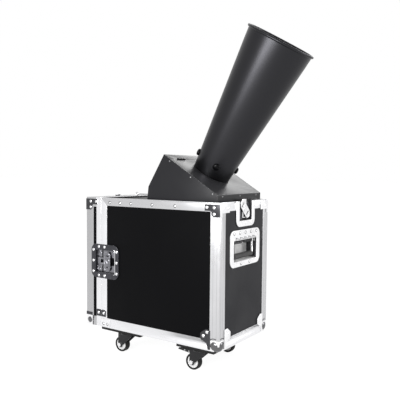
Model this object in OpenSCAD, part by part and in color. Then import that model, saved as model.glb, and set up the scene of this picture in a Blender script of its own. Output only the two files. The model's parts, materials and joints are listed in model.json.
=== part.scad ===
// A confetti blower built into a wheeled road case.
// The case stands on four casters, its left end lifts off as a door over the control panel,
// and a sheet metal head on top carries the hopper, its lid and a slanted flared barrel.
// +X runs along the case towards the side that the barrel leans to, +Y points to the back,
// +Z points up, and the origin is on the floor at the centre of the whole object.

/* [Case] */
// Length of the case over its edging
case_l = 504; // [480:1:560]
// Depth of the case over its edging
case_d = 278; // [270:1:310]
// Height of the case over its edging
case_h = 410; // [400:1:450]
// Thickness of the laminated plywood panels
panel_t = 7; // [6:0.5:8]
// Length of the lift-off door at the left end
door_l = 64; // [60:1:72]
// Gap between the door and the body at their seam
seam_gap = 0.3; // [0.2:0.1:0.8]

/* [Edging] */
// Leg width of the corner angles
angle_w = 30; // [28:1:32]
// Wall of the aluminium edging
edge_t = 1.5; // [1.2:0.1:1.8]
// Height of the rail round the top opening
rail_h = 25; // [22:1:27]
// Height of the ridge along the rail
ridge_h = 3; // [2:0.5:4]
// Width of the body's closing frame
body_frame_w = 24; // [22:1:26]
// Width of the door's closing frame
door_frame_w = 21; // [19:1:22]
// Inward flange of both closing frames
flange_w = 14; // [12:1:16]
// Thickness of the closing frames' flanges
flange_t = 2; // [1.5:0.5:2.5]
// Radius of the ball corners
ball_r = 18.5; // [17:0.5:20]
// How far the ball corners stand proud of the edging
ball_proud = 3; // [2.8:0.1:4]
// Length of each arm of a flat corner brace
brace_l = 49; // [46:1:52]
// Thickness of the riveted corner plates
plate_t = 1.3; // [1:0.1:1.5]
// Radius of a rivet head
rivet_r = 3.6; // [3:0.2:4.2]
// Height of a rivet head
rivet_h = 1.2; // [1:0.1:1.3]

/* [Latches] */
// Width of a butterfly latch along the seam
latch_w = 107; // [102:1:110]
// Length of the latch's mechanism side
latch_dish_l = 73; // [70:1:76]
// Length of the latch's keeper side
latch_keeper_l = 42; // [40:1:44]
// Width of the flange round the latch's pocket
latch_rim = 17; // [15:1:18]
// Radius of the outer corners of a latch's flange
latch_corner = 20; // [14:1:22]
// Depth of the latch's pocket
latch_depth = 12; // [11:0.5:14]
// Sheet thickness of the latches
latch_t = 1.2; // [1:0.1:1.4]
// Distance from the seam to the latch's spindle
spindle_v = 23; // [22:0.5:24]
// Half the length of the wing
wing_half = 32; // [29:0.5:32]
// Width of the wing
wing_w = 27; // [24:1:28]
// Height of the door's front latch above the case's underside
latch_z = 209; // [190:1:230]
// Travel of the latch's hook in half a turn of the wing
hook_travel = 24; // [22:1:25]

/* [Carrying handle] */
// Width of the handle's plate
handle_w = 172; // [160:1:180]
// Height of the handle's plate
handle_h = 105; // [100:1:110]
// Distance from the case's top down to the handle's plate
handle_drop = 82; // [77:1:100]
// Flange of the handle's plate round its pocket
handle_rim = 20; // [17:1:22]
// Depth of the handle's pocket
handle_depth = 34; // [32:1:40]
// Diameter of the rubber grip
grip_d = 16; // [15:1:19]
// Length of the rubber grip
grip_l = 104; // [96:1:106]
// Diameter of the steel bail
bail_d = 7; // [6:0.5:8]
// Distance from the bail's hinge to the grip
bail_drop = 41; // [37:1:43]

/* [Casters] */
// Height of a caster from the floor to its plate
caster_h = 73; // [70:1:80]
// Diameter of the wheels
wheel_d = 48; // [44:1:50]
// Width of the wheels
wheel_w = 19; // [17:1:21]
// Distance from the swivel axis back to the axle
caster_trail = 22; // [18:1:24]
// Side of the square caster plate
caster_plate = 60; // [56:1:62]
// Thickness of the plywood board over each caster
board_t = 8; // [7:0.5:9]
// Width of the caster boards
board_w = 88; // [84:1:92]
// Length of the boards at the door end
board_long = 158; // [150:1:160]
// Length of the boards at the other end
board_short = 128; // [120:1:134]
// Distance from the case's side to the caster's centre
caster_in = 45; // [45:1:48]
// Radius of the swivel's rivet
kingpin_r = 5; // [4.5:0.5:6]
// Radius of the axle
axle_r = 4; // [3.5:0.5:4.5]

/* [Head] */
// Distance from the case's side to the head's side
head_side = 14.5; // [13:0.5:17]
// Distance from the case's end to the head's front face
head_in = 19; // [15:1:22]
// Height of the head's front face above the case
head_front_h = 20; // [20:1:24]
// Slope of the head's face, which is also the lean of the barrel
tilt = 31.5; // [29:0.5:32]
// Length of the sloping face
slope_l = 216; // [213:1:219]
// Length of the lid's back, square to the slope
lid_back_l = 111; // [109:0.5:111]
// Sheet thickness of the head
sheet_t = 1.5; // [1.2:0.1:1.8]
// Length of the lid's strip on the slope
lid_strip = 25; // [24:0.5:27]
// Spacing of the lid's two hinges
hinge_gap = 138; // [120:1:150]
// Length of each hinge
hinge_l = 36; // [30:1:42]

/* [Barrel] */
// Distance up the slope to the barrel's axis
axis_up = 116.5; // [114:0.5:118]
// Length of the barrel
barrel_l = 425; // [380:5:480]
// Outer radius of the barrel at its foot
barrel_foot_r = 55; // [53.5:0.5:56.5]
// Outer radius of the barrel at its mouth
barrel_mouth_r = 96; // [90:1:102]
// Wall of the barrel
barrel_t = 2; // [1.5:0.5:2.5]
// Radius of the rolled bead at the mouth
bead_r = 4; // [3:0.5:5]
// Clearance between the barrel's foot and the spigot
spigot_gap = 0.4; // [0.3:0.1:0.6]
// Height of the spigot above the slope
spigot_h = 50; // [46:1:60]
// Height of the thumb knobs above the slope
knob_s = 39.5; // [36:0.5:40]
// Turn of the ring of knobs about the barrel
knob_turn = -57; // [-62:1:-52]
// Radius of a thumb knob
knob_r = 10.3; // [9:0.1:11]
// Radius of a thumb knob's screw
knob_screw_r = 3; // [2.5:0.5:4]

/* [Air path] */
// Inner radius of the air duct
duct_r = 48; // [44:1:48]
// Wall of the duct
duct_t = 2; // [1.5:0.5:2.5]
// Height of the blower's housing above the case's floor
blower_lift = 12; // [10:0.5:15]
// Length of each foot under the blower
blower_foot_l = 84; // [70:2:100]
// Outer radius of the blower's housing
volute_r = 105; // [102:1:108]
// Width of the blower's housing
volute_w = 104; // [102:1:110]
// Wall of the blower's housing
volute_t = 3; // [2.5:0.5:3.5]
// Length of the blower's neck
neck_l = 140; // [134:1:142]
// Radius of the impeller
impeller_r = 78; // [70:1:84]
// Width of the impeller
impeller_w = 62; // [50:1:70]
// Number of impeller blades
blades = 14; // [8:1:18]
// Radius of the motor
motor_r = 48; // [42:1:52]
// Space between the motor and the back panel
motor_room = 10.5; // [8:0.5:16]
// Radius of the motor's shaft
shaft_r = 6; // [5:0.5:7]
// Width of the feed slot between hopper and chute
slot_w = 16; // [14:0.5:16.5]
// Depth of the feed slot
slot_d = 90; // [80:1:92]
// Height of the feed gate above the case's top
gate_up = 9; // [8.5:0.5:10]
// How far the chute under the gate reaches below the deck
chute_drop = 60; // [54:1:66]
// Thickness of the feed gate
gate_t = 2.2; // [2:0.1:2.5]
// Length of the pull rod outside the head
rod_out = 146; // [120:1:150]
// Radius of the pull rod
rod_r = 1.75; // [1.5:0.25:1.75]

/* [Control panel] */
// Width of the power switch's rocker
rocker_w = 22; // [20:1:26]
// Height of the power switch's rocker
rocker_h = 14; // [12:1:16]
// Side of the square flange of a power socket
socket_w = 32; // [28:1:34]
// Radius of a socket's body
socket_r = 11; // [10:0.5:12]
// Depth of a socket behind the panel
socket_depth = 24; // [20:1:30]
// Radius of the bore of a power socket
power_bore = 8.5; // [7.5:0.5:9]
// Radius of the bore of a signal socket
signal_bore = 7; // [6:0.5:8]
// Height of the power switch above the case's underside
rocker_z = 330; // [310:1:345]
// Height of the power sockets above the case's underside
power_z = 270; // [255:1:280]
// Height of the signal sockets above the case's underside
signal_z = 210; // [190:1:225]
// Distance of each socket from the panel's middle
pair_y = 48; // [36:1:60]
// Number of air slots in the panel
vents = 9; // [5:1:10]
// Length of the air slots
vent_l = 180; // [120:5:200]
// Spacing of the air slots
vent_pitch = 12; // [10:1:14]

/* [Fits] */
// Radial clearance of a pin in its bore
run_gap = 0.05; // [0.02:0.01:0.08]
// Clearance between parts that move past each other
move_gap = 0.5; // [0.3:0.1:0.6]

/* [Hidden] */
$fn = 48;

// Case frame: X = 0 at the right end face, Y = 0 in the middle, Z = 0 at the underside
half_d = case_d / 2;
seam_x = -(case_l - door_l);
end_x = -case_l;
wall = edge_t + panel_t;
cap_z = case_h - ridge_h;
cap_t = 2;
cap_w = wall + edge_t;
deck_t = 2;
deck_z = case_h - 6;
big = 900;

// Barrel frame: Z along the barrel, origin where its axis meets the slope
front_x = -head_in;
front_z = case_h + head_front_h;
axis_x = front_x - axis_up * cos(tilt);
axis_z = front_z + axis_up * sin(tilt);
apex_x = front_x - slope_l * cos(tilt);
apex_z = front_z + slope_l * sin(tilt);
kink_x = apex_x - lid_back_l * sin(tilt);
kink_z = apex_z - lid_back_l * cos(tilt);
back_lean = 5;
foot_x = kink_x - back_lean;
hinge_s = slope_l - lid_strip;
bead_ring_r = barrel_mouth_r + 0.5;
head_w = case_d - 2 * head_side;
mouth_x = axis_x + barrel_l * sin(tilt) + bead_ring_r * cos(tilt) + bead_r;

// Row frame
floor_z = caster_h + board_t;
case_x = (case_l + ball_proud - mouth_x) / 2;

module in_case() translate([case_x, 0, floor_z]) children();
module on_axis() in_case() translate([axis_x, 0, axis_z]) rotate([0, tilt, 0]) children();

// A block between two corners
module block(a, b) translate(a) cube(b - a);

// Both sides of the case's middle plane
module both_sides() {
    children();
    mirror([0, 1, 0]) children();
}

// A rectangle with rounded corners, centred
module rounded_plate(size, r) {
    square([size.x - 2 * r, size.y], center = true);
    square([size.x, size.y - 2 * r], center = true);
    for (x = [-1, 1], y = [-1, 1])
        translate([x * (size.x / 2 - r), y * (size.y / 2 - r)]) circle(r);
}

// A rivet head on the plane Z = 0
module rivet() cylinder(h = rivet_h, r1 = rivet_r, r2 = rivet_r * 0.6);

// Places on the four faces of the case, with local Z pointing out of the face
module on_front(x, z) translate([x, -half_d, z]) rotate([90, 0, 0]) children();
module on_right(y, z) translate([0, y, z]) rotate([90, 0, 90]) children();
module on_left(y, z) translate([end_x, y, z]) rotate([90, 0, -90]) children();

/* Latches: local X along the seam, Y into the mechanism side, Z out of the face */
module front_latch() in_case() on_front(seam_x, latch_z) rotate(-90) children();
module back_latch() mirror([0, 1, 0]) front_latch() children();
module right_latch() in_case() on_right(0, case_h) rotate(180) children();
module left_latch() in_case() on_left(0, case_h) rotate(180) children();

open_turn = 135;
open_slide = hook_travel * open_turn / 180;
pocket_w = latch_w - 2 * latch_rim;
pocket_l = latch_dish_l - latch_rim + 1;
keeper_l = latch_keeper_l - latch_rim;
spindle_r = 5;
hook_w = 22;
claw_t = 1.6;
lip_gap = 0.6;
hook_end = -keeper_l + latch_t + lip_gap;

// Cut in the case for a latch's pocket
module latch_cut(keeper = false) {
    l = keeper ? keeper_l : pocket_l;
    y0 = keeper ? -l : 0;
    block([-pocket_w / 2, y0 - 0.01, -latch_depth - latch_t], [pocket_w / 2, y0 + l + 0.01, 2]);
}

// The flange outline of one side of a latch, with its outer corners rounded
module latch_outline(l) {
    r = latch_corner;
    difference() {
        translate([-latch_w / 2, 0]) square([latch_w, l]);
        for (side = [-1, 1]) translate([side * (latch_w / 2 - r), l - r]) difference() {
            translate([side > 0 ? 0 : -r - 1, 0]) square([r + 1, r + 1]);
            circle(r);
        }
    }
}

// Mechanism side of a latch: a pressed dish with a bearing for the spindle
module latch_dish() {
    difference() {
        union() {
            linear_extrude(latch_t) latch_outline(latch_dish_l);
            block([-pocket_w / 2, 0, -latch_depth - latch_t], [pocket_w / 2, pocket_l, 0]);
        }
        block([-pocket_w / 2 + latch_t, -1, -latch_depth],
            [pocket_w / 2 - latch_t, pocket_l - latch_t, 2]);
        translate([0, spindle_v, -latch_depth - 3]) cylinder(h = 6, r = spindle_r + run_gap);
    }
}

// Keeper side of a latch: a dish with a low lip that the hook reaches over
module latch_keeper() {
    depth = latch_depth;
    difference() {
        mirror([0, 1, 0]) translate([0, seam_gap, 0]) union() {
            linear_extrude(latch_t) latch_outline(latch_keeper_l - seam_gap);
            block([-pocket_w / 2, 0, -depth - latch_t], [pocket_w / 2, keeper_l - seam_gap, 0]);
        }
        block([-pocket_w / 2 + latch_t, -keeper_l + latch_t, -depth],
            [pocket_w / 2 - latch_t, 1, 2]);
    }
    block([-hook_w / 2, hook_end + 4, -depth], [hook_w / 2, hook_end + 6, -depth + 1]);
}

// Wing with its spindle, at a turn away from shut
module latch_wing(turn = 0) {
    slot = [4.5, wing_w * 0.62];
    top = -0.8;
    translate([0, spindle_v, 0]) rotate(turn) {
        difference() {
            translate([0, 0, top - 2]) linear_extrude(2) union() {
                square([2 * wing_half - wing_w, wing_w], center = true);
                for (x = [-1, 1]) translate([x * (wing_half - wing_w / 2), 0]) circle(wing_w / 2);
            }
            for (x = [-1, 1]) translate([x * wing_half * 0.55 - slot.x / 2, -slot.y / 2, -9])
                cube([slot.x, slot.y, 12]);
        }
        translate([0, 0, top]) cylinder(h = 1.6, r = 8);
        translate([0, 0, -latch_depth - latch_t])
            cylinder(h = latch_depth + latch_t + top - 1, r = spindle_r);
    }
}

// Hook plate, slid in by some distance, with a slot that clears the spindle
module latch_hook(slide = 0) {
    z1 = -3.8;
    t = 1.8;
    tail = spindle_v + spindle_r + 3;
    translate([0, slide, 0]) {
        difference() {
            block([-hook_w / 2, hook_end, z1 - t], [hook_w / 2, tail, z1]);
            block([-spindle_r - lip_gap, spindle_v - hook_travel - spindle_r - lip_gap, z1 - t - 1],
                [spindle_r + lip_gap, spindle_v + spindle_r + lip_gap, z1 + 1]);
        }
        block([-hook_w / 2, hook_end, -latch_depth + 1 + lip_gap],
            [hook_w / 2, hook_end + claw_t, z1 - t]);
    }
}

module front_wing() color("dimgray") front_latch() latch_wing();
module front_hook() color("silver") front_latch() latch_hook();
module back_wing() color("dimgray") back_latch() latch_wing();
module back_hook() color("silver") back_latch() latch_hook();
module right_wing() color("silver") right_latch() latch_wing(open_turn);
module right_hook() color("silver") right_latch() latch_hook(open_slide);
module left_wing() color("silver") left_latch() latch_wing(open_turn);
module left_hook() color("silver") left_latch() latch_hook(open_slide);

module latch_dishes() color("gray") {
    front_latch() latch_dish();
    back_latch() latch_dish();
    right_latch() latch_dish();
}

module door_latch_parts() color("gray") {
    front_latch() latch_keeper();
    back_latch() latch_keeper();
    left_latch() latch_dish();
}

/* Panels */
ball_c = ball_r - ball_proud;
body_in = seam_x + flange_t;

// Room for a ball corner in the panels, at the corner of a face
module ball_room() translate([-ball_c, -half_d + ball_c, ball_c]) {
    sphere(ball_r + 0.2);
    block([-1, -ball_c - 1, -ball_c - 1], [ball_c + 1, 1, 1]);
}

module side_panel() difference() {
    block([body_in, -half_d + edge_t, edge_t], [-edge_t, -half_d + wall, cap_z - cap_t]);
    ball_room();
    on_front(seam_x, latch_z) rotate(-90) latch_cut();
}

module front_panel() color([0.09, 0.09, 0.095]) in_case() side_panel();
module back_panel() color([0.09, 0.09, 0.095]) in_case() mirror([0, 1, 0]) side_panel();

module right_panel() color([0.22, 0.22, 0.24]) in_case() difference() {
    block([-wall, -half_d + wall, wall], [-edge_t, half_d - wall, cap_z - cap_t]);
    both_sides() ball_room();
    on_right(0, case_h) rotate(180) latch_cut();
    on_right(0, handle_z + handle_h / 2) handle_pocket(0);
    both_sides() block([-cap_w, -half_d, case_h - rail_h / 2], [0, -half_d + cap_w, case_h]);
}

module bottom_panel() color([0.12, 0.12, 0.12]) in_case() difference() {
    block([body_in, -half_d + wall, edge_t], [-edge_t, half_d - wall, wall]);
    both_sides() ball_room();
}

/* Deck: a folded tray with a black lip at the seam and an opening for duct and chute */
duct_side = duct_r + duct_t;
duct_room = 6;
duct_right = axis_x + (deck_z - axis_z) * tan(tilt) + duct_side / cos(tilt) + duct_room;

module top_deck() color([0.2, 0.2, 0.21]) in_case() difference() {
    union() {
        block([seam_x, -half_d + cap_w, deck_z - deck_t], [-cap_w, half_d - cap_w, deck_z]);
        block([seam_x, -half_d + cap_w, deck_z], [seam_x + deck_t, half_d - cap_w, case_h - 0.5]);
    }
    block([foot_x + 4, -duct_side - duct_room, deck_z - 5],
        [duct_right, duct_side + duct_room, deck_z + 2]);
    block([-latch_depth - latch_t - 0.2, -pocket_w / 2, deck_z - 5], [0, pocket_w / 2, case_h]);
}

/* Edging */
module angle_profile() difference() {
    square([angle_w, angle_w]);
    translate([edge_t, edge_t]) square([angle_w, angle_w]);
}

// Angle along +X from the origin, with its legs along +Y and +Z
module angle_bar(l) rotate([90, 0, 90]) linear_extrude(l) angle_profile();

module edge_angles() color([0.85, 0.85, 0.86]) in_case() {
    both_sides() {
        translate([body_in + body_frame_w - flange_t, -half_d, 0])
            angle_bar(-seam_x - body_frame_w - angle_w);
        translate([0, -half_d, angle_w]) rotate([0, 0, 90])
            linear_extrude(case_h - rail_h - angle_w) angle_profile();
    }
    translate([0, -half_d + angle_w, 0]) rotate([0, 0, 90]) angle_bar(case_d - 2 * angle_w);
}

// Section of the top rail: a cap over the panel's edge with a ridge on it
module rail_profile() {
    polygon([[0, case_h - rail_h], [edge_t, case_h - rail_h], [edge_t, cap_z - cap_t],
        [wall, cap_z - cap_t], [wall, case_h - rail_h / 2], [cap_w, case_h - rail_h / 2],
        [cap_w, cap_z], [0, cap_z]]);
    translate([cap_w / 2 - 2, cap_z - 0.5]) square([3, ridge_h + 0.5]);
}

// Everything left of the mitre between the top rail and the closing frame
module mitre_side() translate([0, half_d + 1, 0]) rotate([90, 0, 0]) linear_extrude(case_d + 2)
    polygon([[seam_x + body_frame_w, case_h - rail_h], [seam_x - 1, case_h - rail_h + body_frame_w + 1],
        [seam_x - 1, case_h - 80], [seam_x + body_frame_w, case_h - 80]]);

module top_rails() color([0.8, 0.8, 0.82]) in_case() {
    both_sides() difference() {
        translate([seam_x, -half_d, 0]) rotate([90, 0, 90]) linear_extrude(-seam_x) rail_profile();
        mitre_side();
        block([seam_x - 1, -half_d + edge_t, case_h - 60],
            [seam_x + deck_t, half_d - edge_t, cap_z - cap_t]);
    }
    difference() {
        translate([0, -half_d + cap_w, 0]) rotate([90, 0, 180])
            linear_extrude(case_d - 2 * cap_w) rail_profile();
        on_right(0, case_h) rotate(180) translate([0, 0, -latch_t]) latch_cut();
    }
}

// Half of a closing frame: outer strip, then the flange at the seam
module frame_ring(x0, x1, flange_x, top_z) difference() {
    block([x0, -half_d, 0], [x1, half_d, top_z]);
    block([x0 - 1, -half_d + edge_t, edge_t], [flange_x, half_d - edge_t, top_z - edge_t]);
    block([flange_x + flange_t, -half_d + edge_t, edge_t], [x1 + 1, half_d - edge_t, top_z - edge_t]);
    block([x0 - 2, -half_d + flange_w, flange_w], [x1 + 2, half_d - flange_w, top_z - flange_w]);
}

module latch_notches(keeper) both_sides() on_front(seam_x, latch_z) rotate(-90) {
    latch_cut(keeper);
    translate([0, 0, -latch_depth]) cube([pocket_w, 2 * latch_dish_l, 2 * latch_depth + 4], center = true);
}

module body_frame() color([0.92, 0.92, 0.93]) in_case() difference() {
    top = deck_z - deck_t;
    union() {
        difference() {
            frame_ring(seam_x, seam_x + body_frame_w, seam_x, top);
            both_sides() block([seam_x - 1, -half_d - 1, case_h - rail_h], [0, -half_d + edge_t, case_h]);
            both_sides() block([body_in, -half_d - 1, top - edge_t], [0, -half_d + cap_w, case_h]);
        }
        both_sides() intersection() {
            block([seam_x, -half_d, case_h - rail_h - 1],
                [seam_x + body_frame_w, -half_d + edge_t, case_h]);
            mitre_side();
        }
    }
    latch_notches(false);
}

/* Corners and rivets */
gusset = [[-27, 4], [-35, 3], [-40, 20], [-60, 30], [-60, 46], [-43, 59], [-27, 57]];
tab = [[plate_t / 2, 0], [-27, 0], [-27, 41], [plate_t / 2, 41]];

// Ball corner at the front right, with a square on each face and a riveted plate on two of them
module ball_corner(plate) {
    difference() {
        union() {
            difference() {
                union() {
                    block([-angle_w, -half_d, 0], [0, -half_d + angle_w, edge_t]);
                    block([-angle_w, -half_d, 0], [0, -half_d + edge_t, angle_w]);
                    block([-edge_t, -half_d, 0], [0, -half_d + angle_w, angle_w]);
                    translate([0, -half_d, 0]) rotate([90, 0, 0]) linear_extrude(plate_t) polygon(plate);
                    translate([0, -half_d, 0]) rotate([90, 0, 90]) mirror([1, 0, 0])
                        linear_extrude(plate_t) polygon(plate);
                }
                block([-ball_c, -half_d - 5, -5], [5, -half_d + ball_c, ball_c]);
            }
            translate([-ball_c, -half_d + ball_c, ball_c]) sphere(ball_r);
        }
        translate([-ball_c, -half_d + ball_c, ball_c]) {
            sphere(ball_r - edge_t);
            block([-40, 4, 4], [-4, 40, 40]);
        }
    }
}

// Flat corner brace on the front with three rivets, and a straight arm on the end face
brace = [brace_l, 35];
brace_arm = [27, 18];
brace_end = 24;
brace_z = case_h - 5;
module top_brace() {
    z1 = brace_z;
    wrap = 11;
    translate([0, -half_d, 0]) rotate([90, 0, 0]) linear_extrude(plate_t)
        polygon([[plate_t, z1], [-brace.x, z1], [-brace.x, z1 - brace_arm.y],
            [-brace_arm.x - 3, z1 - brace_arm.y], [-brace_arm.x, z1 - brace_arm.y - 3],
            [-brace_arm.x, z1 - brace.y + 6], [-brace_arm.x + 6, z1 - brace.y], [plate_t, z1 - brace.y]]);
    block([0, -half_d, z1 - brace.y], [plate_t, -half_d + wrap, z1]);
    block([0, -half_d, z1 - brace_end], [plate_t, -half_d + brace.x, z1]);
}

brace_rivets = [[-42.5, -8.5], [-18.5, -8.5], [-18.5, -26.5]];
gusset_rivets = [[-50.5, 39.5], [-38.5, 51.5]];
seam_rivet = [10.5, 44];

module mirror_end() translate([end_x, 0, 0]) mirror([1, 0, 0]) children();

// Corner pieces at the foot of the closing frames, one each side of the seam
module seam_plate(side) {
    x0 = side > 0 ? seam_x : seam_x - seam_gap;
    translate([x0, -half_d, 0]) rotate([90, 0, 0]) linear_extrude(plate_t)
        polygon([[0, 33], [side * 21, 33], [side * 21, 52], [side * 18, 55], [0, 55]]);
}

module frame_foot() translate([seam_x, -half_d, 0]) rotate([90, 0, 0]) linear_extrude(plate_t)
    polygon([[0, 4], [35, 4], [37, 6], [37, 25], [35, 27], [0, 27]]);

module case_corners() color([0.3, 0.3, 0.32]) in_case() both_sides() {
    ball_corner(gusset);
    top_brace();
    seam_plate(1);
    frame_foot();
}

module door_corners() color([0.3, 0.3, 0.32]) in_case() both_sides() {
    mirror_end() ball_corner(tab);
    mirror_end() top_brace();
    seam_plate(-1);
}

rail_rivets = [-404, -362, -318, -236, -152];
foot_screws = [[10, 11], [27, 11]];
latch_rivets = [[-34, 1], [0, 1], [34, 1], [-45.5, 0.22], [45.5, 0.22]];

module brace_heads() {
    for (p = brace_rivets) on_front(p.x, brace_z + p.y) translate([0, 0, plate_t]) rivet();
    for (x = [-42.5, -18.5]) on_right(-half_d - x, brace_z - brace_end / 2) translate([0, 0, plate_t])
        rivet();
}

module gusset_heads() for (p = gusset_rivets) {
    on_front(p.x, p.y) translate([0, 0, plate_t]) rivet();
    on_right(-half_d - p.x, p.y) translate([0, 0, plate_t]) rivet();
}

module dish_heads() for (p = latch_rivets) translate([p.x, p.y * (latch_dish_l - latch_rim / 2), latch_t])
    rivet();

module keeper_heads() {
    edge_y = -latch_keeper_l + latch_rim / 2;
    for (x = [-34, 0, 34]) translate([x, edge_y, latch_t]) rivet();
    for (x = [-45.5, 45.5]) translate([x, -rivet_r - 6, latch_t]) rivet();
}

handle_rivets_top = [-64, -32, 0, 32, 64];

module handle_heads() on_right(0, handle_z + handle_h / 2) {
    for (y = handle_rivets_top) translate([y, handle_h / 2 - 9, latch_t]) rivet();
    for (y = [-24, 24]) translate([y, -handle_h / 2 + 8, latch_t]) rivet();
}

// Button head of the screws that hold the head together, on the plane Z = 0
module screw_head() cylinder(h = 1.4, r1 = 3, r2 = 2);

head_screw_s = [14, 101, 188];

module head_screws() {
    both_sides() for (s = head_screw_s)
        translate([slope_point(s, -6).x, -head_w / 2, slope_point(s, -6).y])
            rotate([90, 0, 0]) screw_head();
    for (y = [-1, 0, 1]) translate([front_x, y * (head_w / 2 - 28), front_z - 5.5])
        rotate([0, 90, 0]) screw_head();
}

bolt_pitch = caster_plate - 14;

module caster_bolts() for (p = caster_places, x = [-1, 1], y = [-1, 1])
    translate([p.x + x * bolt_pitch / 2, p.y + y * bolt_pitch / 2, -board_t - swivel_plate_t - 1.8])
        cylinder(h = 1.8, r1 = 2.4, r2 = 4);

module case_fasteners() color([0.95, 0.95, 0.96]) {
    in_case() {
        both_sides() {
            for (x = rail_rivets) on_front(x, case_h - rail_h + 10) rivet();
            for (p = foot_screws) on_front(seam_x + p.x, p.y) translate([0, 0, plate_t]) rivet();
            on_front(seam_x + seam_rivet.x, seam_rivet.y) translate([0, 0, plate_t]) rivet();
            brace_heads();
            gusset_heads();
        }
        handle_heads();
        head_screws();
        caster_bolts();
    }
    front_latch() dish_heads();
    back_latch() dish_heads();
    right_latch() dish_heads();
}

module door_rivets() color([0.95, 0.95, 0.96]) {
    in_case() both_sides() {
        mirror_end() brace_heads();
        on_front(seam_x - seam_gap - seam_rivet.x, seam_rivet.y) translate([0, 0, plate_t]) rivet();
    }
    front_latch() keeper_heads();
    back_latch() keeper_heads();
    left_latch() dish_heads();
}

/* Carrying handle, recessed in the right end */
handle_z = case_h - handle_drop - handle_h;
handle_top = handle_h / 2 - handle_rim - 8;
handle_low = -handle_h / 2 + handle_rim - 6;
handle_half = handle_w / 2 - handle_rim;
bail_z = handle_z + handle_h / 2 + handle_top - 7;
bail_x = -bail_d / 2 - 6;
bail_half = grip_l / 2 + 5;

// The pocket's block, grown outwards by some amount
module handle_pocket(grow) block([-handle_half - grow, handle_low - grow, -handle_depth - grow],
    [handle_half + grow, handle_top + grow, 3]);

module handle_dish() color([0.95, 0.95, 0.96]) in_case() {
    on_right(0, handle_z + handle_h / 2) difference() {
        union() {
            translate([0, 0, -edge_t]) linear_extrude(edge_t + latch_t)
                rounded_plate([handle_w, handle_h], 20);
            intersection() {
                handle_pocket(0);
                translate([0, 0, -big / 2]) cube([big, big, big], center = true);
            }
        }
        handle_pocket(-latch_t);
    }
    both_sides() difference() {
        block([bail_x - 5, -handle_half + latch_t - 0.2, bail_z - 5],
            [bail_x + 5, -bail_half - bail_d / 2 - 0.4, bail_z + 5]);
        translate([bail_x, -bail_half, bail_z]) rotate([90, 0, 0])
            cylinder(h = 30, r = bail_d / 2 + run_gap);
    }
}

module handle_bail() color("silver") in_case() translate([bail_x, 0, bail_z]) {
    both_sides() translate([0, -bail_half, 0]) {
        rotate([90, 0, 0]) cylinder(h = handle_half - latch_t - bail_half - 0.4, r = bail_d / 2);
        sphere(bail_d / 2);
        translate([0, 0, -bail_drop]) cylinder(h = bail_drop, r = bail_d / 2);
        translate([0, 0, -bail_drop]) sphere(bail_d / 2);
    }
    translate([0, 0, -bail_drop]) rotate([90, 0, 0])
        cylinder(h = 2 * bail_half, r = bail_d / 2, center = true);
}

module handle_grip() color([0.13, 0.13, 0.13]) in_case() translate([bail_x, 0, bail_z - bail_drop])
    rotate([90, 0, 0]) difference() {
        cylinder(h = grip_l, r = grip_d / 2, center = true);
        cylinder(h = grip_l + 2, r = bail_d / 2, center = true);
    }

/* Casters */
swivel_plate_t = 2.5;
race_r = 19;
race_h = 7;
crown_t = 3;
crown_z = -swivel_plate_t - race_h - 0.3;
leg_t = 2.5;
leg_y = wheel_w / 2 + 1.5;
axle_z = -board_t - caster_h + wheel_d / 2;
board_in = 2;
left_board_x = seam_x + board_long / 2;
right_board_x = -17 - board_short / 2;
caster_places = [[right_board_x - 9, -half_d + caster_in], [right_board_x - 9, half_d - caster_in],
    [left_board_x - 7, -half_d + caster_in], [left_board_x - 7, half_d - caster_in]];

module caster_boards() color([0.1, 0.1, 0.1]) in_case() both_sides() difference() {
    for (b = [[left_board_x, board_long], [right_board_x, board_short]])
        block([b.x - b.y / 2, -half_d + board_in, -board_t],
            [b.x + b.y / 2, -half_d + board_in + board_w, 0]);
    ball_room();
}

module at_caster(k) in_case() translate(concat(caster_places[k], [-board_t])) children();

module caster_plates() color([0.12, 0.12, 0.12]) for (k = [0:3]) at_caster(k) {
    translate([0, 0, -swivel_plate_t]) linear_extrude(swivel_plate_t)
        rounded_plate([caster_plate, caster_plate], 6);
    translate([0, 0, -swivel_plate_t - race_h]) cylinder(h = race_h, r = race_r);
    translate([0, 0, crown_z - crown_t - 1]) cylinder(h = race_h + crown_t, r = kingpin_r);
    translate([0, 0, crown_z - crown_t - 1.8]) cylinder(h = 1.5, r = kingpin_r + 3);
}

module fork(k) color([0.14, 0.14, 0.14]) at_caster(k) {
    low = axle_z + board_t;
    difference() {
        union() {
            translate([0, 0, crown_z - crown_t]) linear_extrude(crown_t) union() {
                circle(race_r + 3);
                translate([-race_r - 10, -leg_y - leg_t]) square([race_r + 24, 2 * (leg_y + leg_t)]);
            }
            for (y = [-1, 1]) translate([0, y * (leg_y + leg_t / 2) + leg_t / 2, 0]) rotate([90, 0, 0])
                linear_extrude(leg_t) union() {
                    polygon([[-race_r - 10, crown_z], [race_r + 5, crown_z], [race_r + 5, crown_z - 8],
                        [-caster_trail + 8, low - 2], [-caster_trail - 8, low - 2],
                        [-race_r - 10, crown_z - 9]]);
                    translate([-caster_trail, low]) circle(9);
                }
        }
        translate([0, 0, crown_z - 20]) cylinder(h = 40, r = kingpin_r + run_gap);
        translate([-caster_trail, 0, low]) rotate([90, 0, 0]) cylinder(h = 60, r = axle_r, center = true);
    }
    translate([-caster_trail, 0, low]) rotate([90, 0, 0]) {
        cylinder(h = 2 * (leg_y + leg_t), r = axle_r, center = true);
        for (m = [0, 1]) mirror([0, 0, m]) translate([0, 0, leg_y + leg_t])
            cylinder(h = 4, r = 6.5, $fn = 6);
    }
    if (k < 2) translate([pedal_x, 0, pedal_z]) rotate([90, 0, 0])
        cylinder(h = 2 * leg_y + leg_t, r = pedal_pin_r, center = true);
}

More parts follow.
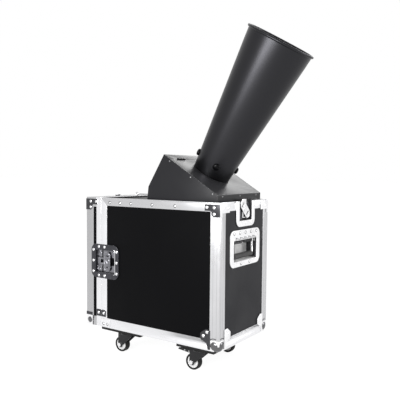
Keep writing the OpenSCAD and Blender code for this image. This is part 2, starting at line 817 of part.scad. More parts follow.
module wheel(k) color([0.15, 0.15, 0.15]) at_caster(k)
    translate([-caster_trail, 0, axle_z + board_t]) rotate([90, 0, 0]) {
        tread = wheel_w - 5;
        difference() {
            union() {
                cylinder(h = tread, r = wheel_d / 2, center = true);
                for (m = [0, 1]) mirror([0, 0, m]) translate([0, 0, tread / 2])
                    cylinder(h = 2.5, r1 = wheel_d / 2, r2 = wheel_d / 2 - 3);
            }
            cylinder(h = 60, r = wheel_d / 2 - 6, center = true);
        }
        difference() {
            union() {
                cylinder(h = wheel_w - 6, r = wheel_d / 2 - 6, center = true);
                cylinder(h = wheel_w + 2, r = 9, center = true);
            }
            cylinder(h = 60, r = axle_r + run_gap, center = true);
        }
    }

// Brake pedal over the wheel, hinged on a pin between the fork's legs
pedal_x = -race_r - 6;
pedal_z = crown_z - crown_t - 4.6;
pedal_pin_r = 2;
pedal_hub_r = 4;
pedal_reach = 48;

module pedal(k) color([0.12, 0.12, 0.12]) at_caster(k) translate([pedal_x, 0, pedal_z]) difference() {
    half = leg_y - 1;
    union() {
        rotate([90, 0, 0]) cylinder(h = 2 * half, r = pedal_hub_r, center = true);
        rotate([0, -4, 0]) mirror([1, 0, 0]) linear_extrude(2)
            polygon([[0, -half], [8, -half], [18, -10], [pedal_reach - 4, -10], [pedal_reach, -7],
                [pedal_reach, 7], [pedal_reach - 4, 10], [18, 10], [8, half], [0, half]]);
    }
    rotate([90, 0, 0]) cylinder(h = 4 * half, r = pedal_pin_r + run_gap, center = true);
}

module fork_1() fork(0);
module fork_2() fork(1);
module fork_3() fork(2);
module fork_4() fork(3);
module wheel_1() wheel(0);
module wheel_2() wheel(1);
module wheel_3() wheel(2);
module wheel_4() wheel(3);
module pedal_1() pedal(0);
module pedal_2() pedal(1);

/* Door */
door_in = seam_x - seam_gap;
door_frame_x = seam_x - door_frame_w;

module door_panel() color([0.1, 0.1, 0.105]) in_case() difference() {
    union() {
        block([end_x + edge_t, -half_d + edge_t, edge_t], [end_x + wall, half_d - edge_t, case_h - edge_t]);
        difference() {
            block([end_x + wall, -half_d + edge_t, edge_t],
                [door_in - flange_t, half_d - edge_t, case_h - edge_t]);
            block([end_x, -half_d + wall, wall], [door_in, half_d - wall, case_h - wall]);
        }
    }
    both_sides() mirror_end() ball_room();
    both_sides() on_front(seam_x, latch_z) rotate(-90) latch_cut(true);
    on_left(0, case_h) rotate(180) latch_cut();
}

module door_edging() color([0.75, 0.75, 0.77]) in_case() difference() {
    union() {
        both_sides() {
            translate([end_x, -half_d, angle_w]) linear_extrude(case_h - 2 * angle_w) angle_profile();
            translate([end_x, -half_d, case_h]) mirror([0, 0, 1]) angle_bar(door_l - door_frame_w);
            translate([end_x + angle_w, -half_d, 0]) angle_bar(door_l - door_frame_w - angle_w);
        }
        for (m = [0, 1]) translate([0, 0, m * case_h]) mirror([0, 0, m])
            translate([end_x, half_d - angle_w, 0]) rotate([0, 0, -90]) angle_bar(case_d - 2 * angle_w);
        both_sides() block([end_x, -half_d, case_h - angle_w], [end_x + edge_t, -half_d + angle_w, case_h]);
    }
    on_left(0, case_h) rotate(180) translate([0, 0, -latch_t]) latch_cut();
}

module door_frame() color([0.92, 0.92, 0.93]) in_case() difference() {
    frame_ring(door_frame_x, door_in, door_in - flange_t, case_h);
    latch_notches(true);
}

/* Head */
// Outline of the head seen from the front
module head_outline() polygon([[front_x, deck_z], [front_x, front_z], [apex_x, apex_z],
    [kink_x, kink_z], [foot_x, deck_z]]);

// A solid made from an outline seen from the front, between two values of Y
module across(y0, y1) translate([0, y1, 0]) rotate([90, 0, 0]) linear_extrude(y1 - y0) children();

// Slope frame: X up the slope from the front edge, Z out of the slope
module on_slope() translate([front_x, 0, front_z]) rotate([0, tilt, 0]) mirror([1, 0, 0]) children();

head_in_y = head_w / 2 - sheet_t;

module head_shell() color([0.25, 0.25, 0.26]) in_case() difference() {
    union() {
        both_sides() across(-head_w / 2, -head_in_y) head_outline();
        block([front_x - sheet_t, -head_in_y, deck_z], [front_x, head_in_y, front_z - sheet_t - 0.5]);
        across(-head_in_y, head_in_y) polygon([[kink_x, kink_z], [kink_x + sheet_t, kink_z],
            [foot_x + sheet_t, deck_z], [foot_x, deck_z]]);
    }
    translate([foot_x, 0, gate_z]) rotate([0, 90, 0])
        cylinder(h = 30, r = rod_r + run_gap, center = true);
}

hinge_r = 3;
hinge_lift = 0.4;
leaf_l = 15;
leaf_t = 1.2;

// The places of the two hinges, with Z along the pin's direction turned to Y
module at_hinges() for (y = [-1, 1]) translate([hinge_s, y * hinge_gap / 2, hinge_lift]) children();

// Room for the hinges' knuckles
module knuckle_room() at_hinges() rotate([90, 0, 0])
    cylinder(h = hinge_l + 1, r = hinge_r + move_gap, center = true);

module slope_plate() color([0.45, 0.45, 0.46]) {
    flange = 12;
    in_case() difference() {
        union() {
            on_slope() block([0, -head_in_y, -sheet_t], [hinge_s - 0.3, head_in_y, 0]);
            on_slope() both_sides() block([4, -head_in_y, -flange],
                [hinge_s - 14, -head_in_y + sheet_t, -sheet_t / 2]);
            block([front_x - 2 * sheet_t, -head_in_y + 4, front_z - flange],
                [front_x - sheet_t, head_in_y - 4, front_z + sheet_t / 4]);
        }
        on_slope() translate([axis_up, 0, -20]) cylinder(h = 40, r = spigot_r + 0.01);
        on_slope() knuckle_room();
        block([front_x, -big, 0], [front_x + 20, big, big]);
    }
}

module lid_hinges() color([0.08, 0.08, 0.08]) in_case() on_slope() at_hinges() {
    rotate([90, 0, 0]) {
        difference() {
            cylinder(h = hinge_l, r = hinge_r, center = true);
            cylinder(h = hinge_l / 3 + 0.4, r = hinge_r + 1, center = true);
        }
        cylinder(h = hinge_l, r = hinge_r / 2, center = true);
    }
    z1 = -sheet_t - hinge_lift;
    for (y = [-1, 1]) block([-leaf_l, y * hinge_l / 3 - hinge_l / 6 + 0.2, z1 - leaf_t],
        [0, y * hinge_l / 3 + hinge_l / 6 - 0.2, z1]);
}

module hopper_lid() color([0.4, 0.4, 0.41]) in_case() {
    side = head_in_y - move_gap;
    flange = 10;
    difference() {
        union() {
            on_slope() block([hinge_s + 0.3, -side, -sheet_t], [slope_l, side, 0]);
            on_slope() block([slope_l - sheet_t, -side, -lid_back_l + sheet_t + move_gap],
                [slope_l, side, 0]);
            on_slope() both_sides() block([slope_l - flange, -side, -lid_back_l + 12],
                [slope_l - sheet_t / 2, -side + sheet_t, -sheet_t / 2]);
        }
        on_slope() knuckle_room();
    }
    on_slope() at_hinges() difference() {
        union() {
            rotate([90, 0, 0]) cylinder(h = hinge_l / 3 - 0.4, r = hinge_r, center = true);
            block([0, -hinge_l / 6 + 0.2, -sheet_t - hinge_lift - leaf_t],
                [leaf_l, hinge_l / 6 - 0.2, -sheet_t / 2 - hinge_lift]);
        }
        rotate([90, 0, 0]) cylinder(h = hinge_l, r = hinge_r / 2 + run_gap, center = true);
    }
}

// Spigot that the barrel slides over, flanged under the slope
spigot_r = barrel_foot_r - barrel_t - spigot_gap;
spigot_t = 2;
spigot_low = -sheet_t - spigot_t;
collar_r = spigot_r + 10;

module spigot() color([0.15, 0.15, 0.15]) on_axis() rotate_extrude() {
    translate([spigot_r - spigot_t, spigot_low]) square([spigot_t, spigot_h - spigot_low]);
    translate([spigot_r + 0.1, spigot_low]) square([collar_r - spigot_r - 0.1, spigot_t]);
}

/* Barrel and thumb knobs */
flare = (barrel_mouth_r - barrel_foot_r) / barrel_l;
barrel_lift = 0.3;

module barrel() color([0.2, 0.2, 0.21]) on_axis() difference() {
    rotate_extrude($fn = 96) {
        polygon([[barrel_foot_r - barrel_t, barrel_lift], [barrel_foot_r, barrel_lift],
            [barrel_mouth_r, barrel_l], [barrel_mouth_r - barrel_t, barrel_l]]);
        translate([bead_ring_r, barrel_l]) circle(bead_r);
    }
    for (k = [0:3]) rotate(knob_turn + 90 * k) translate([spigot_r - 5, 0, knob_s])
        rotate([0, 90, 0]) cylinder(h = 40, r = knob_screw_r + run_gap);
}

module knob(k) color([0.05, 0.05, 0.05]) on_axis() rotate(knob_turn + 90 * k) translate([0, 0, knob_s])
    rotate([0, 90, 0]) {
        face = barrel_foot_r + flare * (knob_s + knob_r) + 0.5;
        translate([0, 0, spigot_r + 0.3]) cylinder(h = face - spigot_r + 1, r = knob_screw_r);
        translate([0, 0, face]) cylinder(h = 4.5, r = knob_r);
        translate([0, 0, face + 4.5]) cylinder(h = 3.5, r1 = knob_r, r2 = knob_r * 0.62);
    }

module knob_1() knob(0);
module knob_2() knob(1);
module knob_3() knob(2);
module knob_4() knob(3);

/* Hopper, feed gate and chute */
gate_z = case_h + gate_up;
gate_gap = 1.2;
chute_top = gate_z - gate_t / 2 - gate_gap;
funnel_low = gate_z + gate_t / 2 + gate_gap;
slot_x0 = foot_x + 5.6;
slot_x1 = slot_x0 + slot_w;

// Funnel opening on the slope, and how far it lies under the slope
funnel_x = [hinge_s - 17, slope_l - 17];
funnel_z = -25.5;
funnel_side = 16;

// A point of the head's middle plane, given up the slope and out of it
function slope_point(x, z) = [front_x - x * cos(tilt) + z * sin(tilt),
    front_z + x * sin(tilt) + z * cos(tilt)];

// The funnel's outside, grown from its inside by a wall, between two heights
module funnel_form(grow, low, top) {
    right = slope_point(funnel_x[0] - grow, top);
    left = slope_point(funnel_x[1] + grow, top);
    half = [slot_d / 2 + grow, head_in_y - funnel_side + grow];
    intersection() {
        across(-head_in_y, head_in_y)
            polygon([[slot_x0 - grow, low], [slot_x1 + grow, low], right, left]);
        translate([foot_x, 0, 0]) rotate([90, 0, 90]) linear_extrude(front_x - foot_x)
            polygon([[-half[0], low], [half[0], low], [half[1], left.y], [-half[1], left.y]]);
    }
}

module hopper() color([0.6, 0.6, 0.62]) in_case() difference() {
    union() {
        funnel_form(sheet_t, funnel_low, funnel_z);
        on_slope() block([funnel_x[0] - sheet_t, -head_in_y, funnel_z - sheet_t],
            [funnel_x[1] + sheet_t, head_in_y, funnel_z]);
    }
    funnel_form(0, funnel_low - 0.5, funnel_z + 0.5);
}

module feed_gate() color([0.35, 0.35, 0.36]) in_case() {
    ring_x = foot_x - rod_out;
    block([slot_x0 - 1.2, -slot_d / 2 - 4, gate_z - gate_t / 2],
        [slot_x1 + 1.2, slot_d / 2 + 4, gate_z + gate_t / 2]);
    translate([ring_x + 5, 0, gate_z]) rotate([0, 90, 0])
        cylinder(h = slot_x0 - 1 - ring_x - 5, r = rod_r);
    translate([ring_x, 0, gate_z]) rotate([90, 0, 0]) rotate_extrude() translate([5, 0]) circle(rod_r);
}

/* Blower's place: its housing stands over the case's floor, and the duct fills what is left */
blower_out = volute_r - duct_side;
blower_z = wall + blower_lift + volute_r;
blower_s = (blower_z + blower_out * sin(tilt) - axis_z) / cos(tilt);
duct_l = -blower_s - sheet_t - spigot_t - neck_l;
motor_cap = 6;
motor_l = half_d - wall - motor_room - volute_w / 2 - motor_cap;

module air_duct() color([0.55, 0.55, 0.57]) {
    top_s = -sheet_t - spigot_t;
    low_s = top_s - duct_l;
    difference() {
        union() {
            on_axis() {
                translate([0, 0, low_s]) cylinder(h = duct_l, r = duct_side);
                translate([0, 0, top_s - 2]) cylinder(h = 2, r = collar_r);
                translate([0, 0, low_s + 1.5]) cube([2 * duct_side + 14, volute_w, 3], center = true);
            }
            in_case() block([slot_x0 - sheet_t, -slot_d / 2 - sheet_t, deck_z - chute_drop],
                [slot_x1 + sheet_t, slot_d / 2 + sheet_t, chute_top]);
            in_case() block([slot_x0 - sheet_t, -slot_d / 2 - sheet_t - 14, deck_z],
                [slot_x1 + sheet_t, slot_d / 2 + sheet_t + 14, deck_z + 2]);
        }
        on_axis() translate([0, 0, low_s - 1]) cylinder(h = duct_l + 3, r = duct_r);
        in_case() block([slot_x0, -slot_d / 2, deck_z - chute_drop + 2],
            [slot_x1, slot_d / 2, chute_top + 1]);
    }
}

/* Blower: a scroll in two halves, its impeller and motor */
module at_blower() on_axis() translate([blower_out, 0, blower_s]) children();

// Outline of the scroll grown inwards by a wall, in the plane square to the impeller
module scroll(inset) {
    circle(volute_r - inset, $fn = 96);
    translate([-volute_r + inset, 0]) square([2 * duct_side - 2 * inset, neck_l]);
}

module housing_half(hole_r) difference() {
    rotate([90, 0, 0]) linear_extrude(volute_w / 2) scroll(0);
    translate([0, 1, 0]) rotate([90, 0, 0]) linear_extrude(volute_w / 2 + 1 - volute_t) scroll(volute_t);
    translate([-volute_r + volute_t, -volute_w / 2 + volute_t, neck_l - 10])
        cube([2 * duct_side - 2 * volute_t, volute_w, 20]);
    rotate([90, 0, 0]) cylinder(h = volute_w, r = hole_r);
}

// A foot under one half of the housing, standing on the case's floor
module blower_foot() {
    x = axis_x + blower_s * sin(tilt) + blower_out * cos(tilt);
    across(-volute_w / 2, -volute_w / 2 + 10) difference() {
        translate([x - blower_foot_l / 2, wall]) square([blower_foot_l, volute_r / 2]);
        translate([x, blower_z]) circle(volute_r - 1);
    }
}

module blower_front() color([0.5, 0.5, 0.52]) {
    at_blower() housing_half(impeller_r * 0.66);
    in_case() blower_foot();
}

module blower_back() color([0.48, 0.48, 0.5]) mirror([0, 1, 0]) {
    at_blower() housing_half(shaft_r + 4);
    in_case() blower_foot();
}

module blower_motor() color([0.3, 0.3, 0.32]) at_blower() rotate([-90, 0, 0]) difference() {
    union() {
        translate([0, 0, volute_w / 2]) cylinder(h = motor_l, r = motor_r);
        translate([0, 0, volute_w / 2]) cylinder(h = 4, r = motor_r + 10);
        translate([0, 0, volute_w / 2 + motor_l]) cylinder(h = motor_cap, r = motor_r - 10);
    }
    translate([0, 0, 0]) cylinder(h = volute_w / 2 + motor_l - 8, r = shaft_r + run_gap);
}

module impeller() color([0.7, 0.7, 0.72]) at_blower() rotate([-90, 0, 0]) {
    w = impeller_w;
    translate([0, 0, w / 2 - 2]) difference() {
        cylinder(h = 2, r = impeller_r);
        translate([0, 0, -1]) cylinder(h = 4, r = shaft_r);
    }
    translate([0, 0, -w / 2]) difference() {
        cylinder(h = 2, r = impeller_r);
        translate([0, 0, -1]) cylinder(h = 4, r = impeller_r * 0.66);
    }
    translate([0, 0, w / 2 - 22]) difference() {
        cylinder(h = 22, r = 16);
        translate([0, 0, -1]) cylinder(h = 24, r = shaft_r);
    }
    for (k = [0:blades - 1]) rotate(360 * k / blades)
        translate([impeller_r * 0.66 - 4, 0, -w / 2 + 1]) rotate(-38)
        cube([impeller_r * 0.36, 2, w - 2]);
    translate([0, 0, w / 2 - 24]) cylinder(h = volute_w / 2 - w / 2 + 24 + motor_l - 10, r = shaft_r);
}

/* Control panel behind the door */
panel_x = seam_x + flange_t;
panel_thick = 2;
panel_half = half_d - wall;
vent_w = vent_pitch / 2;
vent_low = 36;
rocker_pin_r = 1.5;
rocker_wall = 3;

// A block round the rocker, wider by some amount, between two depths behind the panel's face
module rocker_box(grow, x0, x1) block([panel_x + x0, -rocker_w / 2 - grow, rocker_z - rocker_h / 2 - grow],
    [panel_x + x1, rocker_w / 2 + grow, rocker_z + rocker_h / 2 + grow]);

module control_panel() color([0.25, 0.25, 0.26]) in_case() difference() {
    block([panel_x, -panel_half, wall], [panel_x + panel_thick, panel_half, deck_z - deck_t - edge_t]);
    for (k = [0:vents - 1]) translate([panel_x - 1, -vent_l / 2, vent_low + vent_pitch * k])
        cube([9, vent_l, vent_w]);
    rocker_box(rocker_wall, -1, 9);
    both_sides() on_front(seam_x, latch_z) rotate(-90) latch_cut();
    for (y = [-1, 1], z = [power_z, signal_z]) translate([panel_x - 1, y * pair_y, z]) rotate([0, 90, 0])
        cylinder(h = 9, r = socket_r);
}

// Two power sockets above two smaller signal sockets, and the switch's housing
module panel_sockets() color([0.3, 0.35, 0.5]) in_case() {
    for (y = [-1, 1], row = [[power_z, socket_w, power_bore], [signal_z, socket_w - 5, signal_bore]])
        translate([panel_x, y * pair_y, row.x]) rotate([0, -90, 0]) difference() {
            union() {
                linear_extrude(2) rounded_plate([row.y, row.y], 4);
                cylinder(h = 5, r = socket_r + 1);
                translate([0, 0, -socket_depth]) cylinder(h = socket_depth + 1, r = socket_r);
            }
            translate([0, 0, -socket_depth / 3]) cylinder(h = socket_depth, r = row.z);
        }
    difference() {
        union() {
            rocker_box(rocker_wall + 2.5, -2.5, 0);
            rocker_box(rocker_wall, 0, 16);
        }
        rocker_box(move_gap, -9, 14);
        translate([panel_x + 4, 0, rocker_z]) rotate([90, 0, 0])
            cylinder(h = rocker_w + 5, r = rocker_pin_r + run_gap, center = true);
    }
}

module power_switch() color([0.8, 0.1, 0.1]) in_case() translate([panel_x + 4, 0, rocker_z]) {
    half = rocker_h / 2 - 1;
    across(-rocker_w / 2, rocker_w / 2) polygon([[4, -3], [4, 3], [-5, half], [-8.6, half - 0.8],
        [-7, 0], [-7, -half + 1], [-5, -half]]);
    rotate([90, 0, 0]) cylinder(h = rocker_w + 4.6, r = rocker_pin_r, center = true);
}

front_panel();
back_panel();
right_panel();
bottom_panel();
top_deck();
edge_angles();
top_rails();
body_frame();
case_corners();
case_fasteners();
handle_dish();
latch_dishes();
caster_boards();
caster_plates();
head_shell();
slope_plate();
spigot();
hopper();
air_duct();
blower_front();
blower_back();
blower_motor();
control_panel();
panel_sockets();
lid_hinges();
impeller();
hopper_lid();
feed_gate();
barrel();
knob_1();
knob_2();
knob_3();
knob_4();
power_switch();
handle_bail();
handle_grip();
door_panel();
door_edging();
door_frame();
door_corners();
door_rivets();
door_latch_parts();
front_wing();
front_hook();
back_wing();
back_hook();
right_wing();
right_hook();
left_wing();
left_hook();
fork_1();
fork_2();
fork_3();
fork_4();
wheel_1();
wheel_2();
wheel_3();
wheel_4();
pedal_1();
pedal_2();
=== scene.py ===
import json
import math

import bmesh
import bpy
from mathutils import Matrix, Vector


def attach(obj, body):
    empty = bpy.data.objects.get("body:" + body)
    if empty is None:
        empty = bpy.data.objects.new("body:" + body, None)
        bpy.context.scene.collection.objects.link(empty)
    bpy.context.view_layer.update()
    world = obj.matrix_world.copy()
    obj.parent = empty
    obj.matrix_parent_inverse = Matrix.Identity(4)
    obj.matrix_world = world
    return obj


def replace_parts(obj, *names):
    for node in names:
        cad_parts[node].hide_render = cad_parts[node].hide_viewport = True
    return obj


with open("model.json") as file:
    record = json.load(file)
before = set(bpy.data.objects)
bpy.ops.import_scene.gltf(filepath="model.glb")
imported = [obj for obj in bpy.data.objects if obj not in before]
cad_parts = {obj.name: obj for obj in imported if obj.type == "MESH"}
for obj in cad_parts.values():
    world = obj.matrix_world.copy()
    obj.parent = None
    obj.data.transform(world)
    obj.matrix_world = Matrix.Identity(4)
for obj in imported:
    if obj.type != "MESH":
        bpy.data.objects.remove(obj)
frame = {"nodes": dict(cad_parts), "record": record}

for name in ("Cube", "Camera", "Light"):
    if name in bpy.data.objects:
        bpy.data.objects.remove(bpy.data.objects[name])
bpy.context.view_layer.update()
BODY = {n: b for b, names in frame["record"]["behaviour"]["bodies"].items() for n in names}

# Lengths are in mm of the case frame: X = 0 at the right end face, Y = 0 in the middle, and
# Z = 0 at the case's underside. Materials, lamps and the floor are in metres.
MM = 0.001
CASE = Vector((158.4955, 0, 81)) * MM  # the case frame's origin
CASE_L = 504
CASE_H = 410
HALF_D = 139
SEAM = -440  # where the door meets the body
EDGE_W = 30  # leg of the corner angles
BALL_R = 19.6
BALL_IN = 15.5  # from the case's faces to the middle of a ball corner

TILT = math.radians(31.5)  # slope of the head's face and lean of the barrel
HEAD_IN = 19  # from the case's end to the head's front face
HEAD_FRONT_H = 20
AXIS_UP = 116.5  # up the slope to the barrel's axis
FOOT_R = 55
MOUTH_R = 96
BARREL_L = 425
BEAD_R = 4
KNOB_S = 39.5  # from the slope up to the middle of a knob
KNOB_R = 10.3
KNOB_TURN = -57


def at(x, y, z):
    """A point of the case frame, in metres of the shared frame."""
    return CASE + Vector((x, y, z)) * MM


def turn(x=0, y=0, z=0):
    """OpenSCAD's rotate([x, y, z])."""
    return (Matrix.Rotation(math.radians(z), 4, "Z") @ Matrix.Rotation(math.radians(y), 4, "Y")
            @ Matrix.Rotation(math.radians(x), 4, "X"))


BARREL_AXIS = Matrix.Translation(
    at(-HEAD_IN - AXIS_UP * math.cos(TILT), 0, CASE_H + HEAD_FRONT_H + AXIS_UP * math.sin(TILT))
) @ Matrix.Rotation(TILT, 4, "Y")


# Materials

NOISE_ROUGHNESS = 0.6
CLOUD_SCALE = 11
CHIP_SCALE = 90
COAT_ROUGHNESS = 0.06
RELIEF = 0.0004


class Nodes:
    """Small helper that builds one material's node tree."""

    def __init__(self, name):
        self.mat = bpy.data.materials.new(name)
        self.mat.use_nodes = True
        self.tree = self.mat.node_tree
        self.tree.nodes.clear()
        self.out = self.add("ShaderNodeOutputMaterial")
        self.bsdf = self.add("ShaderNodeBsdfPrincipled")
        self.link(self.bsdf.outputs[0], self.out.inputs[0])

    def add(self, kind, **values):
        node = self.tree.nodes.new(kind)
        for key, value in values.items():
            setattr(node, key, value)
        return node

    def link(self, a, b):
        self.tree.links.new(a, b)

    def noise(self, scale, detail, stretch=(1, 1, 1)):
        coord = self.add("ShaderNodeTexCoord")
        mapping = self.add("ShaderNodeMapping")
        mapping.inputs["Scale"].default_value = stretch
        tex = self.add("ShaderNodeTexNoise")
        tex.inputs["Scale"].default_value = scale
        tex.inputs["Detail"].default_value = detail
        tex.inputs["Roughness"].default_value = NOISE_ROUGHNESS
        self.link(coord.outputs["Object"], mapping.inputs["Vector"])
        self.link(mapping.outputs[0], tex.inputs["Vector"])
        return tex.outputs[0]

    def spread(self, value, a, b, lo=0.3, hi=0.7):
        """The value's range lo to hi, spread over a to b."""
        m = self.add("ShaderNodeMapRange")
        m.inputs["From Min"].default_value = lo
        m.inputs["From Max"].default_value = hi
        m.inputs["To Min"].default_value = a
        m.inputs["To Max"].default_value = b
        self.link(value, m.inputs["Value"])
        return m.outputs[0]

    def mix(self, factor, a, b):
        """Two colours mixed, each a tuple or a socket."""
        m = self.add("ShaderNodeMix", data_type="RGBA")
        self.link(factor, m.inputs[0])
        for socket, c in ((m.inputs[6], a), (m.inputs[7], b)):
            if isinstance(c, tuple):
                socket.default_value = (*c, 1)
            else:
                self.link(c, socket)
        return m.outputs[2]

    def times(self, a, b):
        m = self.add("ShaderNodeMath", operation="MULTIPLY")
        self.link(a, m.inputs[0])
        self.link(b, m.inputs[1])
        return m.outputs[0]

    def edges(self, radius):
        """1 on sharp edges, 0 on flat faces."""
        bevel = self.add("ShaderNodeBevel", samples=4)
        bevel.inputs["Radius"].default_value = radius
        geo = self.add("ShaderNodeNewGeometry")
        dot = self.add("ShaderNodeVectorMath", operation="DOT_PRODUCT")
        self.link(bevel.outputs[0], dot.inputs[0])
        self.link(geo.outputs["Normal"], dot.inputs[1])
        return self.spread(dot.outputs["Value"], 1, 0, 0.86, 0.985)


def surface(name, color, rough, metallic=0.0, spec=0.5, coat=0.0, tint=0.12, grain=260, bump=0.08,
            stretch=(1, 1, 1), wear=None, wear_r=0.0007, cloud=0.2):
    """A material with grain in its colour and relief, and broad clouds in its gloss.

    tint and cloud are the shares by which colour and roughness vary. wear is the colour that
    shows where edges are chipped, and wear_r the radius of that wear.
    """
    n = Nodes(name)
    b = n.bsdf
    fine = n.noise(grain, 5, stretch)
    broad = n.noise(CLOUD_SCALE, 3)
    dark = tuple(c * (1 - tint) for c in color)
    light = tuple(min(1, c * (1 + tint)) for c in color)
    base = n.mix(n.spread(fine, 0, 1), dark, light)
    if wear:
        chips = n.times(n.edges(wear_r), n.spread(n.noise(CHIP_SCALE, 6), 0.05, 1, 0.42, 0.6))
        base = n.mix(chips, base, wear)
    n.link(base, b.inputs["Base Color"])
    n.link(n.spread(broad, rough * (1 - cloud), min(1, rough * (1 + cloud))), b.inputs["Roughness"])
    b.inputs["Metallic"].default_value = metallic
    b.inputs["Specular IOR Level"].default_value = spec
    b.inputs["Coat Weight"].default_value = coat
    b.inputs["Coat Roughness"].default_value = COAT_ROUGHNESS
    bump_node = n.add("ShaderNodeBump")
    bump_node.inputs["Strength"].default_value = bump
    bump_node.inputs["Distance"].default_value = RELIEF
    n.link(fine, bump_node.inputs["Height"])
    n.link(bump_node.outputs[0], b.inputs["Normal"])
    return n.mat


def brushed(axis, tone, k):
    """Aluminium brushed along one axis, as number k of its tones of painted light and shade."""
    stretch = [60, 60, 60]
    stretch["xyz".index(axis)] = 1
    return surface("edging_%s_%d" % (axis, k), (tone, tone, tone * 1.02), 0.3, 0.92, grain=40,
                   stretch=stretch, bump=0.04, tint=0.05)


# The edging's slots are three directions of brushing in each of three tones: a lit tone, a half
# shade and a deeper shade, all painted
edging = [brushed(axis, tone, k) for k, tone in enumerate((0.8, 0.56, 0.46)) for axis in "xyz"]
# Tone numbers of painted shade: the half shade and the deeper shade
HALF_SHADE = 3
DEEP_SHADE = 6

laminate = surface("laminate_black", (0.003, 0.003, 0.0035), 0.5, spec=0.04, tint=0.2, grain=900,
                   bump=0.2)
# The same black laminate drawn lighter for the case's ends: painted light.
laminate_lit_end = surface("laminate_lit_end", (0.03, 0.03, 0.033), 0.5, spec=0.1, tint=0.15, grain=900,
                       bump=0.2)
steel_dark = surface("steel_dark", (0.06, 0.06, 0.065), 0.3, 0.9, tint=0.2, bump=0.1,
                     wear=(0.45, 0.45, 0.46), wear_r=0.0009)
steel_smoke = surface("steel_smoke", (0.09, 0.09, 0.095), 0.2, 1.0, tint=0.1, bump=0.03)
ball_chrome = surface("ball_chrome", (0.14, 0.14, 0.145), 0.16, 1.0, tint=0.06, bump=0.01)
chrome = surface("chrome", (0.82, 0.82, 0.83), 0.18, 1.0, tint=0.05, bump=0.03)
# Dark rims and arcs: painted shade round heads on bright metal and round the right balls
rim_painted_shade = surface("rim_painted_shade", (0.1, 0.1, 0.105), 0.3, 0.9, tint=0.1, bump=0.05)
screw_grey = surface("screw_grey", (0.3, 0.3, 0.31), 0.35, 0.8, tint=0.1, bump=0.04)
# Grey for the lines in the right corner angles, darker as painted shade in their grooves
groove_shade = surface("groove_shade", (0.4, 0.4, 0.41), 0.4, 0.9, tint=0.1, bump=0.05)
zinc = surface("zinc_sheet", (0.6, 0.61, 0.63), 0.36, 0.9, tint=0.16, grain=60, bump=0.05)
# Bright plated metal, used where a painted reflection of the white room makes plates bright
zinc_bright_sheen = surface("zinc_bright_sheen", (0.86, 0.86, 0.87), 0.3, 0.95, tint=0.06, grain=120, bump=0.06)
# Full white on the handle pocket's inner faces: painted light in a shaded recess.
tray_painted_light = surface("tray_painted_light", (1.0, 1.0, 1.0), 0.35, 0.1, tint=0.05, grain=120, bump=0.05)
# Near black in latch and handle pockets: painted shade.
pocket_painted_shade = surface("pocket_painted_shade", (0.04, 0.04, 0.043), 0.4, 0.8, tint=0.2, bump=0.1)
latch_dark = surface("latch_dark", (0.06, 0.06, 0.068), 0.3, 0.9, tint=0.25, grain=90, bump=0.12,
                     wear=(0.5, 0.5, 0.53), wear_r=0.0012)
latch_wing = surface("latch_wing", (0.23, 0.23, 0.25), 0.28, 1.0, tint=0.25, grain=90, bump=0.1,
                     wear=(0.75, 0.75, 0.78), wear_r=0.0012)
sheet = surface("black_sheet", (0.007, 0.007, 0.009), 0.42, spec=0.26, tint=0.08, grain=700,
                bump=0.06)
# Lighter grey on broken edges: a painted highlight along the bends
fold_painted_highlight = surface("fold_painted_highlight", (0.35, 0.35, 0.36), 0.35, tint=0.1, grain=700, bump=0.05)
slope_sheet = surface("slope_sheet", (0.036, 0.036, 0.039), 0.32, spec=0.34, tint=0.03, grain=700,
                      bump=0, cloud=0)
barrel_sheet = surface("barrel_sheet", (0.033, 0.033, 0.036), 0.34, 1.0, tint=0.04, grain=700,
                       bump=0.01, cloud=0.03)
# A little less light off the barrel's outline, where the white room is seen at a grazing angle
barrel_sheet.node_tree.nodes["Principled BSDF"].inputs["Specular Tint"].default_value = (
    0.85, 0.85, 0.85, 1)
knob_black = surface("knob_black", (0.002, 0.002, 0.0025), 0.22, spec=0.1, tint=0.1, bump=0.01)
gloss_black = surface("gloss_black", (0.004, 0.004, 0.005), 0.14, spec=0.3, tint=0.1, bump=0.02)
rubber = surface("rubber", (0.012, 0.012, 0.012), 0.7, spec=0.25, tint=0.25, grain=700, bump=0.25)
grip_rubber = surface("grip_rubber", (0.05, 0.05, 0.05), 0.55, spec=0.4, tint=0.25, grain=700,
                      bump=0.3)
hub_white = surface("hub_white", (0.78, 0.78, 0.78), 0.4, tint=0.05, bump=0.06)
caster_black = surface("caster_black", (0.014, 0.014, 0.015), 0.4, 0.2, spec=0.3, tint=0.2,
                       bump=0.1, wear=(0.2, 0.2, 0.21), wear_r=0.0008)
plywood = surface("board_black", (0.01, 0.01, 0.01), 0.6, spec=0.2, tint=0.3, grain=500, bump=0.3,
                  wear=(0.1, 0.08, 0.06))
socket_blue = surface("socket_blue", (0.02, 0.06, 0.2), 0.4, tint=0.1, bump=0.06)
switch_red = surface("switch_red", (0.45, 0.015, 0.012), 0.25, coat=0.4, tint=0.1, bump=0.02)
motor_paint = surface("motor_paint", (0.05, 0.06, 0.07), 0.4, tint=0.2, bump=0.15)


# Shapes

WELD = 2e-6
FLAT_ANGLE = math.radians(0.4)
SHARP_ANGLE = math.radians(35)


def new_object(name, bm, body, *materials, smooth=32):
    """A piece made of a bmesh, riding on a body, with edges sharper than smooth degrees kept."""
    me = bpy.data.meshes.new(name)
    bm.to_mesh(me)
    bm.free()
    obj = bpy.data.objects.new(name, me)
    bpy.context.collection.objects.link(obj)
    for m in materials:
        me.materials.append(m)
    for p in me.polygons:
        p.use_smooth = True
    me.set_sharp_from_angle(angle=math.radians(smooth))
    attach(obj, body)
    return obj


